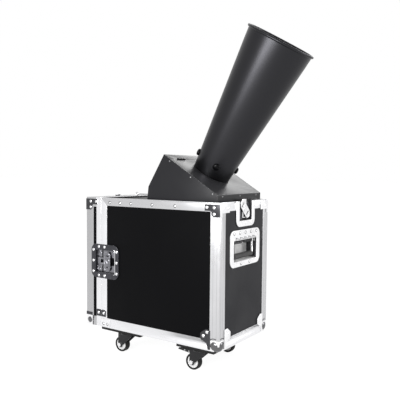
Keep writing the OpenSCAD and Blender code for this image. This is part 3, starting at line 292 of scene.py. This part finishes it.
def welded(node):
    """A copy of a node's mesh, with the corners that lie on each other made one."""
    bm = bmesh.new()
    bm.from_mesh(frame["nodes"][node].data)
    bmesh.ops.remove_doubles(bm, verts=bm.verts, dist=WELD)
    return bm


def creased(bm, angle):
    """Edges whose two faces turn by more than an angle."""
    return [e for e in bm.edges if len(e.link_faces) == 2 and e.calc_face_angle(0) > angle]


def refine(node, *materials, bevel=0.3, pick=None, highlight_slot=-1):
    """The node's own form with its edges broken and better materials.

    pick gives a face's material; the last argument, if not -1, is the material of the broken edges,
    which paints a highlight along them.
    """
    bm = welded(node)
    bmesh.ops.dissolve_limit(bm, angle_limit=FLAT_ANGLE, verts=bm.verts, edges=bm.edges)
    sharp = creased(bm, SHARP_ANGLE)
    for f in bm.faces:
        f.material_index = pick(f) if pick else 0
    if bevel:
        bmesh.ops.bevel(bm, geom=sharp, offset=bevel * MM, segments=2, profile=0.6,
                        clamp_overlap=True, affect="EDGES", material=highlight_slot)
    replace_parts(new_object(node + "_look", bm, BODY[node], *materials), node)


def finish_piece(name, bm, body, slot, *materials, smooth=40):
    """A piece that stands for no node, with its normals put right."""
    bmesh.ops.recalc_face_normals(bm, faces=bm.faces)
    new_object(name, bm, body, *materials, smooth=smooth)


def ring(bm, place, r, z, count):
    """New corners round the place's Z axis, or one where the radius is nothing, in metres."""
    if r < 1e-9:
        return [bm.verts.new(place @ Vector((0, 0, z)))]
    angles = (2 * math.pi * k / count for k in range(count))
    return [bm.verts.new(place @ Vector((r * math.cos(a), r * math.sin(a), z))) for a in angles]


def bridge(bm, a, b, material=0):
    """Faces between two rings, one of which may be a single corner."""
    count = max(len(a), len(b))
    for k in range(count):
        j = (k + 1) % count
        corners = ([a[k], a[j]] if len(a) > 1 else a) + ([b[j], b[k]] if len(b) > 1 else b)
        bm.faces.new(corners).material_index = material


def lathe(name, body, matrix, profile, material, around=64, replaces=()):
    """Turns a profile of (radius, height) points about the matrix's Z axis."""
    bm = bmesh.new()
    rings = [ring(bm, matrix, r * MM, z * MM, around) for r, z in profile]
    for a, b in zip(rings, rings[1:]):
        bridge(bm, a, b)
    bmesh.ops.recalc_face_normals(bm, faces=bm.faces)
    obj = new_object(name, bm, body, material, smooth=35)
    if replaces:
        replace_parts(obj, *replaces)


def add_box(bm, matrix, a, b):
    """A box between two corners, in the matrix's frame."""
    lo, hi = Vector(map(min, a, b)), Vector(map(max, a, b))
    for v in bmesh.ops.create_cube(bm, size=1)["verts"]:
        corner = Vector([(lo[i] + hi[i]) / 2 + v.co[i] * (hi[i] - lo[i]) for i in range(3)])
        v.co = matrix @ (corner * MM)


def strip(name, body, boxes, material):
    """Thin raised lines: boxes of the case frame."""
    bm = bmesh.new()
    for a, b in boxes:
        add_box(bm, Matrix.Translation(CASE), a, b)
    new_object(name, bm, body, material)


ASKEW = Vector((0.13, 0.21, 0.97))  # a direction that no bar runs in


def tube(bm, points, r, matrix, closed=False, around=8):
    """A round bar along points of the matrix's frame."""
    pts = [Vector(p) for p in points]
    rings = []
    for i, p in enumerate(pts):
        a = pts[(i - 1) % len(pts)] if closed or i else p
        b = pts[(i + 1) % len(pts)] if closed or i < len(pts) - 1 else p
        way = (b - a).normalized()
        side = way.cross(ASKEW).normalized()
        other = way.cross(side)
        circle = []
        for k in range(around):
            t = 2 * math.pi * k / around
            rim = p + r * (math.cos(t) * side + math.sin(t) * other)
            circle.append(bm.verts.new(matrix @ (rim * MM)))
        rings.append(circle)
    for a, b in zip(rings, rings[1:]):
        bridge(bm, a, b)
    if closed:
        bridge(bm, rings[-1], rings[0])
    else:
        bm.faces.new(rings[0][::-1])
        bm.faces.new(rings[-1])


def arc(r, a0, a1, z, cy=0, steps=10):
    """Points on a circle about (0, cy), from one angle to another."""
    angles = [math.radians(a0 + (a1 - a0) * i / steps) for i in range(steps + 1)]
    return [(r * math.cos(a), cy + r * math.sin(a), z) for a in angles]


def rounded(x0, y0, x1, y1, r, z, steps=5):
    """Points of a rectangle with round corners."""
    out = []
    for cx, cy, a0 in ((x1 - r, y1 - r, 0), (x0 + r, y1 - r, 90), (x0 + r, y0 + r, 180),
                       (x1 - r, y0 + r, 270)):
        out += [(cx + x, y, z) for x, y, z in arc(r, a0, a0 + 90, z, cy, steps)]
    return out


# Heads of rivets, bolts and screws

DOME_STEPS = 7
DOME_AROUND = 20
DOME_R = 0.9  # share of a head's radius
DOME_FOOT = 0.12  # share of a head's height, below the dome
# Painted shade: a dark ring round each head on bright metal
SHADE_RING = ((0.98, 0.3), (1.3, 0.3), (1.35, 0))  # shares of the radius, and heights
SCREW_SCALE = 0.75
RIVET_SCALE = 1.25
TOUCH = 1e-5


def heads(node):
    """The corners of each separate head in a node, as one list for each."""
    bm = welded(node)
    seen = set()
    found = []
    for v in bm.verts:
        if v in seen:
            continue
        group, stack = [], [v]
        seen.add(v)
        while stack:
            w = stack.pop()
            group.append(w.co.copy())
            for e in w.link_edges:
                o = e.other_vert(w)
                if o not in seen:
                    seen.add(o)
                    stack.append(o)
        found.append(group)
    bm.free()
    return found


def measure(group):
    """The middle of a head's foot, its outward direction, its radius and its height."""
    lo = Vector([min(c[i] for c in group) for i in range(3)])
    hi = Vector([max(c[i] for c in group) for i in range(3)])
    size = hi - lo
    k = min(range(3), key=lambda i: size[i])
    mid = (lo + hi) / 2
    r_lo = max((c - mid).length for c in group if abs(c[k] - lo[k]) < TOUCH)
    r_hi = max((c - mid).length for c in group if abs(c[k] - hi[k]) < TOUCH)
    out = Vector((0, 0, 0))
    out[k] = 1 if r_hi < r_lo else -1
    base = mid.copy()
    base[k] = lo[k] if out[k] > 0 else hi[k]
    return base, out, max(r_lo, r_hi), size[k]


def on_bright(c):
    """Whether a head sits on bright metal, where a ring of painted shade goes round it."""
    on_rail = 390 < c.z < 402 and -410 < c.x < -140
    on_bottom_edge = c.z < 15
    on_handle_plate = c.x > -1 and 212 < c.z < 340
    return on_rail or on_bottom_edge or on_handle_plate


def domes(node, material, rim, screw):
    """Domed heads in place of a node's plain ones, with a ring of painted shade round them on bright
    metal.
    """
    bm = bmesh.new()
    for group in heads(node):
        base, out, r, h = measure(group)
        c = (base - CASE) / MM
        is_screw = c.z > CASE_H + 1
        shade_ringed = on_bright(c)
        if is_screw:
            r *= SCREW_SCALE
        elif not shade_ringed:
            r *= RIVET_SCALE
        place = Matrix.Translation(base) @ out.to_track_quat("Z", "Y").to_matrix().to_4x4()
        rings = [ring(bm, place, r, 0, DOME_AROUND)]
        for i in range(DOME_STEPS):
            a = math.pi / 2 * i / (DOME_STEPS - 1)
            z = h * (DOME_FOOT + (1 - DOME_FOOT) * math.sin(a))
            rings.append(ring(bm, place, DOME_R * r * math.cos(a), z, DOME_AROUND))
        for i, (a, b) in enumerate(zip(rings, rings[1:])):
            bridge(bm, a, b, 2 if is_screw else 1 if shade_ringed and not i else 0)
        bm.faces.new(rings[0][::-1])
        if shade_ringed:
            rings = [ring(bm, place, w * r, z * MM, DOME_AROUND) for w, z in SHADE_RING]
            for a, b in zip(rings, rings[1:]):
                bridge(bm, b, a, 1)
    obj = new_object(node + "_look", bm, BODY[node], material, rim, screw, smooth=60)
    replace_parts(obj, node)


# Case

def spot(f):
    """The middle of a face, in the case frame."""
    return (f.calc_center_median() - CASE) / MM


def along(f):
    """0, 1 or 2: the axis along which an edging piece runs at this face."""
    c = spot(f)
    if EDGE_W + 1 < c.z < CASE_H - EDGE_W - 1:
        return 2
    if (c.x > 1 - EDGE_W or c.x < EDGE_W - 1 - CASE_L) and abs(c.y) < HALF_D - EDGE_W - 1:
        return 1
    return 0


def angle_shading(f):
    """Uprights in the middle tone, painted shade darker than the lit horizontals."""
    return along(f) + (HALF_SHADE if along(f) == 2 else 0)


def rail_shading(f):
    """All in the middle tone of painted shade but the faces to the right and the top, which are
    painted lit.
    """
    return along(f) + (0 if f.normal.x > 0.5 or f.normal.z > 0.5 else HALF_SHADE)


# The door's edging all in the darkest tone: painted shade.
def door_shading(f):
    return along(f) + DEEP_SHADE


def panel_side(f):
    """0 on the door's end face, in the ends' lighter laminate, which is painted light, 1 on its
    other sides.
    """
    return 0 if spot(f).x < 9 - CASE_L else 1


def corner_side(f):
    """0 on plates that face front or back, 1 on the ends and the foot plates, in bright metal that
    is a painted reflection of the white room, 2 on the balls.
    """
    c = spot(f)
    n = f.normal
    ball = Vector((-BALL_IN if c.x > -CASE_L / 2 else BALL_IN - CASE_L,
                   math.copysign(HALF_D - BALL_IN, c.y), BALL_IN))
    square = max(abs(n.x), abs(n.y), abs(n.z)) >= 0.985
    if (c - ball).length < BALL_R - 0.4 and not square:
        return 2
    on_foot_plate = SEAM < c.x < SEAM + 40 and c.z < 28
    on_right_foot = c.x >= -60 and c.z <= 16
    return 0 if abs(n.y) > 0.7 and not on_foot_plate and not on_right_foot else 1


for name in ("front_panel", "back_panel", "bottom_panel"):
    refine(name, laminate)
refine("right_panel", laminate_lit_end)
refine("top_deck", sheet)
for name, pick in (("edge_angles", angle_shading), ("body_frame", along), ("top_rails", rail_shading),
                   ("door_edging", door_shading), ("door_frame", along)):
    refine(name, *edging, bevel=0.35, pick=pick)
refine("door_panel", laminate_lit_end, laminate, pick=panel_side)
for name in ("case_corners", "door_corners"):
    refine(name, steel_dark, zinc_bright_sheen, steel_smoke, bevel=0.5, pick=corner_side)
for name in ("case_fasteners", "door_rivets"):
    domes(name, chrome, rim_painted_shade, screw_grey)

# Ball corners, as half balls
BALL = []
for i in range(13):
    a = math.radians(7.5 * i)
    BALL.append((BALL_R * math.sin(a), BALL_R * math.cos(a)))
for side, end in ((-1, 0), (1, 0), (-1, 1), (1, 1)):
    out = Vector((-1 if end else 1, side, -1))
    middle = at(BALL_IN - CASE_L if end else -BALL_IN, side * (HALF_D - BALL_IN), BALL_IN)
    lathe("ball_%d%d" % (end, side > 0), "door" if end else "case",
          Matrix.Translation(middle) @ out.to_track_quat("Z", "Y").to_matrix().to_4x4(),
          BALL, ball_chrome, around=48)

# Dark arcs where the right balls come through the edging: painted shade along the edging's cut round
# each ball
SHADE_ARC_R = 20.5
for side, angles in ((-1, (95, 200)), (1, (160, 265))):
    bm = bmesh.new()
    on_side = Matrix.Translation(at(-BALL_IN, side * HALF_D, BALL_IN)) @ turn(90)
    on_end = Matrix.Translation(at(0, side * (HALF_D - BALL_IN), BALL_IN)) @ turn(y=90)
    for (a0, a1), matrix in (((70, 175), on_side), (angles, on_end)):
        tube(bm, arc(SHADE_ARC_R, a0, a1, 0, steps=14), 1.3, matrix)
    finish_piece("ball_collar_%d" % (side > 0), bm, "case", "dark_steel", rim_painted_shade)

# Bright skins on the door's corner plates, a painted reflection, and the lines drawn in the right
# corner angles, darker as painted shade in their grooves
strip("door_corner_sheen", "door",
      [((-CASE_L - 0.3, side * (HALF_D + 1.25), 0.2), (27.2 - CASE_L, side * (HALF_D + 1.6), 31))
       for side in (-1, 1)], zinc_bright_sheen)
LINE_HALF = 0.45
LINE_UP = 0.12
LINE_Z = (36, 372)
lines = []
for side in (-1, 1):
    for x in (-8.5, -21):
        lines.append(((x - LINE_HALF, side * HALF_D, LINE_Z[0]),
                      (x + LINE_HALF, side * (HALF_D + LINE_UP), LINE_Z[1])))
    for d in (8.5, 19):
        y = side * (HALF_D - d)
        lines.append(((0, y - LINE_HALF, LINE_Z[0]), (LINE_UP, y + LINE_HALF, LINE_Z[1])))
strip("edging_lines", "case", lines, groove_shade)

# Latches
LATCH_Z = 209
SPINDLE = 23  # from the seam to the wing's spindle
OPEN_TURN = 135  # how far from shut the wings on the ends rest
RIB_Z = -0.9
COVER_TOP = -6.6
BOX_EDGE = 1.2  # in radians: less than the turn at a box's edge, more than at a bar's
ON_FRONT = Matrix.Translation(at(SEAM, -HALF_D, LATCH_Z)) @ turn(90) @ turn(z=-90)
LATCH = {
    "front": ON_FRONT,
    "back": Matrix.Scale(-1, 4, (0, 1, 0)) @ ON_FRONT,
    "right": Matrix.Translation(at(0, 0, CASE_H)) @ turn(90, 0, 90) @ turn(z=180),
    "left": Matrix.Translation(at(-CASE_L, 0, CASE_H)) @ turn(90, 0, -90) @ turn(z=180),
}


def dish_side(f):
    """0 on the front and back latches, 1 on the flanges of the end ones, bright with painted
    reflection, 2 in their pockets, dark with painted shade.
    """
    c = spot(f)
    if 14 - CASE_L <= c.x <= -20:
        return 0
    return 2 if 2 - CASE_L < c.x < -2 and abs(c.y) < HALF_D - 2 else 1


def covers(name, matrix, body, material, y0, y1):
    """Pressed plates in a latch's pocket, to both sides of its hook."""
    bm = bmesh.new()
    top = COVER_TOP
    middle = (y0 + y1) / 2
    for side in (-1, 1):
        add_box(bm, matrix, (side * 12.6, y0, -8), (side * 36, y1, -6.8))
        tube(bm, [(side * 16, y0 + 3, top), (side * 30, y0 + 5, top), (side * 31, y1 - 5, top),
                  (side * 17, y1 - 3, top)], 1.0, matrix)
        tube(bm, [(side * 19, middle - 4, top), (side * 27, middle + 4, top)], 1.3, matrix)
    bmesh.ops.bevel(bm, geom=creased(bm, BOX_EDGE), offset=0.4 * MM, segments=2, profile=0.6,
                    affect="EDGES", clamp_overlap=True)
    finish_piece(name + "_cover", bm, body, "latch_plate", material)


for name in ("latch_dishes", "door_latch_parts"):
    refine(name, latch_dark, zinc_bright_sheen, pocket_painted_shade, bevel=0.4, pick=dish_side)
for name, matrix in LATCH.items():
    # The end latches' beads, ribs and wings are drawn bright: a painted reflection of the white
    # room.
    dark = name in ("front", "back")
    body = "door" if name == "left" else "case"
    bm = bmesh.new()
    two_corners = rounded(-39, -3, 39, 58.5, 6, 1.0)[:12]
    tube(bm, two_corners, 1.0, matrix)
    finish_piece(name + "_latch_bead", bm, body, "latch_plate", chrome if dark else zinc_bright_sheen)
    covers(name, matrix, body, latch_wing if dark else latch_dark, 2.5, 54)
    if dark:
        covers(name + "_keeper", matrix, "door", latch_wing, -24, -2.5)
    refine(name + "_wing", latch_wing if dark else chrome, bevel=0.5)
    refine(name + "_hook", latch_wing if dark else chrome, bevel=0.4)
    spin = matrix
    if not dark:
        spin = (matrix @ Matrix.Translation((0, SPINDLE * MM, 0)) @ turn(z=OPEN_TURN)
                @ Matrix.Translation((0, -SPINDLE * MM, 0)))
    bm = bmesh.new()
    for a0 in (20, 200):
        tube(bm, arc(11.2, a0, a0 + 140, RIB_Z, SPINDLE), 0.7, spin)
    tube(bm, rounded(-29.5, SPINDLE - 11, 29.5, SPINDLE + 11, 10.5, RIB_Z - 0.05, 8), 0.7, spin,
         closed=True)
    tube(bm, [(-4.5, SPINDLE - 3, 0.8), (4.5, SPINDLE + 3, 0.8)], 0.8, spin)
    finish_piece(name + "_wing_ribs", bm, name + "_wing", "latch_plate",
                 latch_wing if dark else zinc_bright_sheen)

# Carrying handle
HANDLE_H = 105
HANDLE_DROP = 82  # from the case's top down to the plate
HANDLE_Z = CASE_H - HANDLE_DROP - HANDLE_H / 2
BAIL = Vector((-9.5, 0, HANDLE_Z + HANDLE_H / 2 - 35))
BAIL_DROP = 41  # from the bail's hinge to the grip
ON_RIGHT = Matrix.Translation(at(0, 0, HANDLE_Z)) @ turn(90, 0, 90)
ON_BAIL = Matrix.Translation(at(*BAIL)) @ turn(z=90)


def handle_side(f):
    """0 on the flange, 1 on the pocket's side that faces the front, in painted shade, 2 on its other
    sides, in painted light.
    """
    if (f.calc_center_median().x - CASE.x) / MM > -1.3:
        return 0
    return 1 if f.normal.y < -0.5 else 2


refine("handle_dish", zinc_bright_sheen, pocket_painted_shade, tray_painted_light, bevel=0.5, pick=handle_side)
refine("handle_bail", chrome, bevel=0)
bm = bmesh.new()
tube(bm, rounded(-68, -41.5, 68, 27.5, 7, 1.2), 1.0, ON_RIGHT, closed=True)
finish_piece("handle_bead", bm, "case", "handle_plate", zinc_bright_sheen)
# Notches along the pocket's upper edge, dark with painted shade, and a line of painted shade down
# its front side
notch_shade = [((0, y - 1.6, HANDLE_Z + 25), (1.8, y + 1.6, HANDLE_Z + 28.5 + 1.5 * (y % 3)))
         for y in range(-60, 61, 8)]
notch_shade += [((0, -65.6, HANDLE_Z - 30), (1.6, -63.4, HANDLE_Z + 22))]
strip("handle_notch_shade", "case", notch_shade, pocket_painted_shade)

# Springs round the bail's hinge
COIL_TURNS = 9
COIL_POINTS = 12
COIL_R = 5.2
bm = bmesh.new()
for side in (-1, 1):
    coil = []
    for i in range(COIL_POINTS * COIL_TURNS + 1):
        a = 2 * math.pi * i / COIL_POINTS
        x = 6 + 44 * i / (COIL_POINTS * COIL_TURNS)
        coil.append((side * x, COIL_R * math.cos(a), COIL_R * math.sin(a)))
    tube(bm, coil, 1.1, ON_BAIL, around=6)
tube(bm, [(-56, 0, 0), (56, 0, 0)], 2.2, ON_BAIL)
finish_piece("handle_springs", bm, "case", "dark_steel", steel_dark)

GRIP_R = 8
grip = [(0, -51.9), (GRIP_R - 1.7, -51.9), (GRIP_R - 0.4, -51), (GRIP_R, -49)]
for i in range(12):
    z = -44 + 8 * i
    grip += [(GRIP_R, z - 2.4), (GRIP_R - 0.7, z - 1.6), (GRIP_R - 0.7, z + 1.6), (GRIP_R, z + 2.4)]
grip += [(GRIP_R, 49), (GRIP_R - 0.4, 51), (GRIP_R - 1.7, 51.9), (0, 51.9)]
lathe("handle_grip_look", "handle", Matrix.Translation(at(BAIL.x, 0, BAIL.z - BAIL_DROP)) @ turn(90),
      grip, grip_rubber, around=40, replaces=("handle_grip",))

# Casters
CASTER = {1: (-90, -94), 2: (-90, 94), 3: (-368, -94), 4: (-368, 94)}
WHEEL_R = 24
AXLE_Z = WHEEL_R - 81
TRAIL = 22  # from the swivel's axis back to the axle
TYRE = [(18, -7), (19.5, -9.2), (21.3, -9.5), (23.1, -8.6), (WHEEL_R, -6), (WHEEL_R, 6), (23.1, 8.6),
        (21.3, 9.5), (19.5, 9.2), (18, 7), (18, -7)]
HUB = [(4, -10.4), (8, -10.4), (9, -9.4), (9, -6.8), (12, -6), (17, -6), (18.2, -7.2), (18.2, 7.2),
       (17, 6), (12, 6), (9, 6.8), (9, 9.4), (8, 10.4), (4, 10.4), (4, -10.4)]


def axle_end(f, k):
    """1 on the ends of an axle outside caster k's fork, 0 elsewhere."""
    c = spot(f)
    return 1 if abs(c.y - CASTER[k][1]) > 14.2 and c.z < -40 else 0


refine("caster_boards", plywood, bevel=0.5)
refine("caster_plates", caster_black, bevel=0.5)
for k, (x, y) in CASTER.items():
    axle = Matrix.Translation(at(x - TRAIL, y, AXLE_Z)) @ turn(90)
    refine("fork_%d" % k, caster_black, chrome, bevel=0.5, pick=lambda f, k=k: axle_end(f, k))
    lathe("tyre_%d" % k, "wheel_%d" % k, axle, TYRE, rubber, replaces=("wheel_%d" % k,))
    lathe("hub_%d" % k, "wheel_%d" % k, axle, HUB, hub_white)

# Cheeks and bolts of the two brake pedals, measured from the pedal's hinge
CHEEK = [(2, -3.6), (2, 3.5), (-44, 2.5), (-47, -0.6), (-46, -2.6), (-10, -6.5)]
CHEEK_IN = 9
CHEEK_OUT = 10.2
PEDAL_X = -25
PEDAL_Z = -25.4
BOLT = [(2, -1), (2, 0.5), (1.5, 1.1), (0.7, 1.4)]
BOLT_AROUND = 16
for k in (1, 2):
    x0, y0, z0 = CASTER[k][0] + PEDAL_X, CASTER[k][1], PEDAL_Z
    refine("pedal_%d" % k, caster_black, bevel=0.5)
    bm = bmesh.new()
    for side in (-1, 1):
        inner, outer = [[bm.verts.new(at(x0 + x, y0 + side * y, z0 + z)) for x, z in CHEEK]
                        for y in (CHEEK_IN, CHEEK_OUT)]
        bridge(bm, inner, outer)
        bm.faces.new(inner[::-1])
        bm.faces.new(outer)
    finish_piece("pedal_cheeks_%d" % k, bm, "pedal_%d" % k, "caster_steel", caster_black)
    bm = bmesh.new()
    for side in (-1, 1):
        for x, z in ((-8.5, -2), (-23, -1.4)):
            place = Matrix.Translation(at(x0 + x, y0 + side * CHEEK_OUT, z0 + z)) @ turn(-90 * side)
            rings = [ring(bm, place, r * MM, h * MM, BOLT_AROUND) for r, h in BOLT]
            for a, b in zip(rings, rings[1:]):
                bridge(bm, a, b)
            bm.faces.new(rings[-1])
            bm.faces.new(rings[0][::-1])
    finish_piece("pedal_bolts_%d" % k, bm, "pedal_%d" % k, "rivet_steel", chrome)

# Head and barrel
# The broken edges of the head, slope and lid take the lighter grey: a painted highlight.
refine("head_shell", sheet, fold_painted_highlight, bevel=0.7, highlight_slot=1)
for name in ("slope_plate", "hopper_lid"):
    refine(name, slope_sheet, fold_painted_highlight, bevel=0.5, highlight_slot=1)
refine("lid_hinges", gloss_black)
refine("hopper", zinc)
refine("feed_gate", chrome)
refine("spigot", gloss_black)

# The barrel shown is a little wider than its solid, to meet the outline in the photograph
PROUD = 1.8
WALL = 1.9
BEAD_OUT = 1.6
FOOT_Z = 0.3
INNER_FOOT = (FOOT_R - WALL, FOOT_Z)
barrel = [INNER_FOOT, (FOOT_R + PROUD, FOOT_Z)]
for i in range(1, 10):
    t = i / 10
    barrel.append((FOOT_R + PROUD + (MOUTH_R - FOOT_R) * t, FOOT_Z + (BARREL_L - FOOT_Z) * t))
for i in range(25):
    a = math.radians(-100 + 14 * i)
    barrel.append((MOUTH_R + BEAD_OUT + BEAD_R * math.cos(a), BARREL_L + BEAD_R * math.sin(a)))
barrel += [(MOUTH_R - 2.7, BARREL_L - 5), INNER_FOOT]
lathe("barrel_look", "barrel", BARREL_AXIS, barrel, barrel_sheet, around=144, replaces=("barrel",))

# Knobs, whose FACE is the barrel's radius at their upper edge
FACE = FOOT_R + (MOUTH_R - FOOT_R) / BARREL_L * (KNOB_S + KNOB_R) + 0.5
SCREW_R = 3
KNOB = [(0, FOOT_R - 2.1), (SCREW_R, FOOT_R - 2.1)]
for radius, height in ((SCREW_R, -0.3), (KNOB_R - 0.6, -0.3), (KNOB_R, 0.3), (KNOB_R, 2.6),
                       (9.9, 4.2), (8.8, 5.6), (6.8, 6.9), (4, 7.7), (0, 8)):
    KNOB.append((radius, FACE + height))
for k in range(1, 5):
    place = (BARREL_AXIS @ turn(z=KNOB_TURN + 90 * (k - 1)) @ Matrix.Translation((0, 0, KNOB_S * MM))
             @ turn(y=90))
    lathe("knob_look_%d" % k, "knob_%d" % k, place, KNOB, knob_black, around=40,
          replaces=("knob_%d" % k,))

# Inside
for name in ("air_duct", "blower_front", "blower_back", "impeller"):
    refine(name, zinc)
refine("blower_motor", motor_paint, bevel=0.6)
refine("control_panel", sheet, bevel=0.2)
refine("panel_sockets", socket_blue)
refine("power_switch", switch_red)


# Floor, room and lamps

FLOOR_GLOW = 1.29
GLOW_SHARE = 0.72
ROOM_LIGHT = 0.4


def for_rays(tree, *kinds):
    """1 for rays of these kinds, 0 for the others."""
    path = tree.nodes.new("ShaderNodeLightPath")
    value = path.outputs[kinds[0]]
    for kind in kinds[1:]:
        either = tree.nodes.new("ShaderNodeMath")
        either.operation = "MAXIMUM"
        tree.links.new(value, either.inputs[0])
        tree.links.new(path.outputs[kind], either.inputs[1])
        value = either.outputs[0]
    return value


bm = bmesh.new()
bmesh.ops.create_grid(bm, x_segments=1, y_segments=1, size=30)
floor_mesh = bpy.data.meshes.new("floor")
bm.to_mesh(floor_mesh)
bm.free()
floor = bpy.data.objects.new("floor", floor_mesh)
bpy.context.collection.objects.link(floor)
n = Nodes("floor_white")
n.bsdf.inputs["Base Color"].default_value = (0.85, 0.85, 0.85, 1)
n.bsdf.inputs["Roughness"].default_value = 0.9
n.bsdf.inputs["Specular IOR Level"].default_value = 0.0
glow = n.add("ShaderNodeEmission")
glow.inputs["Strength"].default_value = FLOOR_GLOW
part = n.add("ShaderNodeMath", operation="MULTIPLY")
part.inputs[1].default_value = GLOW_SHARE
mix = n.add("ShaderNodeMixShader")
n.link(for_rays(n.tree, "Is Camera Ray", "Is Glossy Ray"), part.inputs[0])
n.link(part.outputs[0], mix.inputs[0])
n.link(n.bsdf.outputs[0], mix.inputs[1])
n.link(glow.outputs[0], mix.inputs[2])
n.link(mix.outputs[0], n.out.inputs[0])
floor.data.materials.append(n.mat)

world = bpy.data.worlds.new("studio")
bpy.context.scene.world = world
world.use_nodes = True
room = world.node_tree
room.nodes.clear()
room_out = room.nodes.new("ShaderNodeOutputWorld")
room_mix = room.nodes.new("ShaderNodeMixShader")
white = for_rays(room, "Is Camera Ray", "Is Glossy Ray", "Is Transmission Ray")
room.links.new(white, room_mix.inputs[0])
for socket, strength in ((room_mix.inputs[1], ROOM_LIGHT), (room_mix.inputs[2], 1.0)):
    light = room.nodes.new("ShaderNodeBackground")
    light.inputs["Color"].default_value = (1, 1, 1, 1)
    light.inputs["Strength"].default_value = strength
    room.links.new(light.outputs[0], socket)
room.links.new(room_mix.outputs[0], room_out.inputs[0])


def lamp(name, place, target, size, power):
    """A rectangular lamp aimed at a point, in metres and watts, that the camera doesn't see."""
    data = bpy.data.lights.new(name, "AREA")
    data.shape = "RECTANGLE"
    data.size, data.size_y = size
    data.energy = power
    obj = bpy.data.objects.new(name, data)
    bpy.context.collection.objects.link(obj)
    obj.location = place
    obj.rotation_euler = (Vector(target) - Vector(place)).to_track_quat("-Z", "Y").to_euler()
    obj.visible_camera = False


lamp("key", (2.6, 1.6, 1.3), (0.1, 0, 0.4), (1.4, 1.6), 30)
lamp("fill", (0.24, -1.65, 0.76), (0.0, 0, 0.7), (1.15, 0.38), 27)
lamp("back", (-0.6, 2.6, 2.1), (0, 0, 0.6), (1.8, 1.2), 14)

# Camera, fitted to the case's edges in the photograph: angles in radians, focal length in pixels
YAW, PITCH, ROLL = 0.5969, 0.05271, 0.00846
FOCAL = 546.75
IMAGE_W = 400
SENSOR_W = 36
EYE = at(778.85, -1242.48 - HALF_D, 494.88)
level = Vector((math.cos(YAW), math.sin(YAW), 0))
forward = Vector((-math.sin(YAW) * math.cos(PITCH), math.cos(YAW) * math.cos(PITCH),
                  -math.sin(PITCH)))
upright = level.cross(forward)
right = math.cos(ROLL) * level + math.sin(ROLL) * upright
up = -math.sin(ROLL) * level + math.cos(ROLL) * upright
cam_data = bpy.data.cameras.new("camera")
cam_data.sensor_width = SENSOR_W
cam_data.lens = FOCAL / IMAGE_W * SENSOR_W
cam = bpy.data.objects.new("camera", cam_data)
bpy.context.collection.objects.link(cam)
cam.matrix_world = Matrix.Translation(EYE) @ Matrix((right, up, -forward)).transposed().to_4x4()
bpy.context.scene.camera = cam
bpy.context.scene.view_settings.view_transform = "Standard"
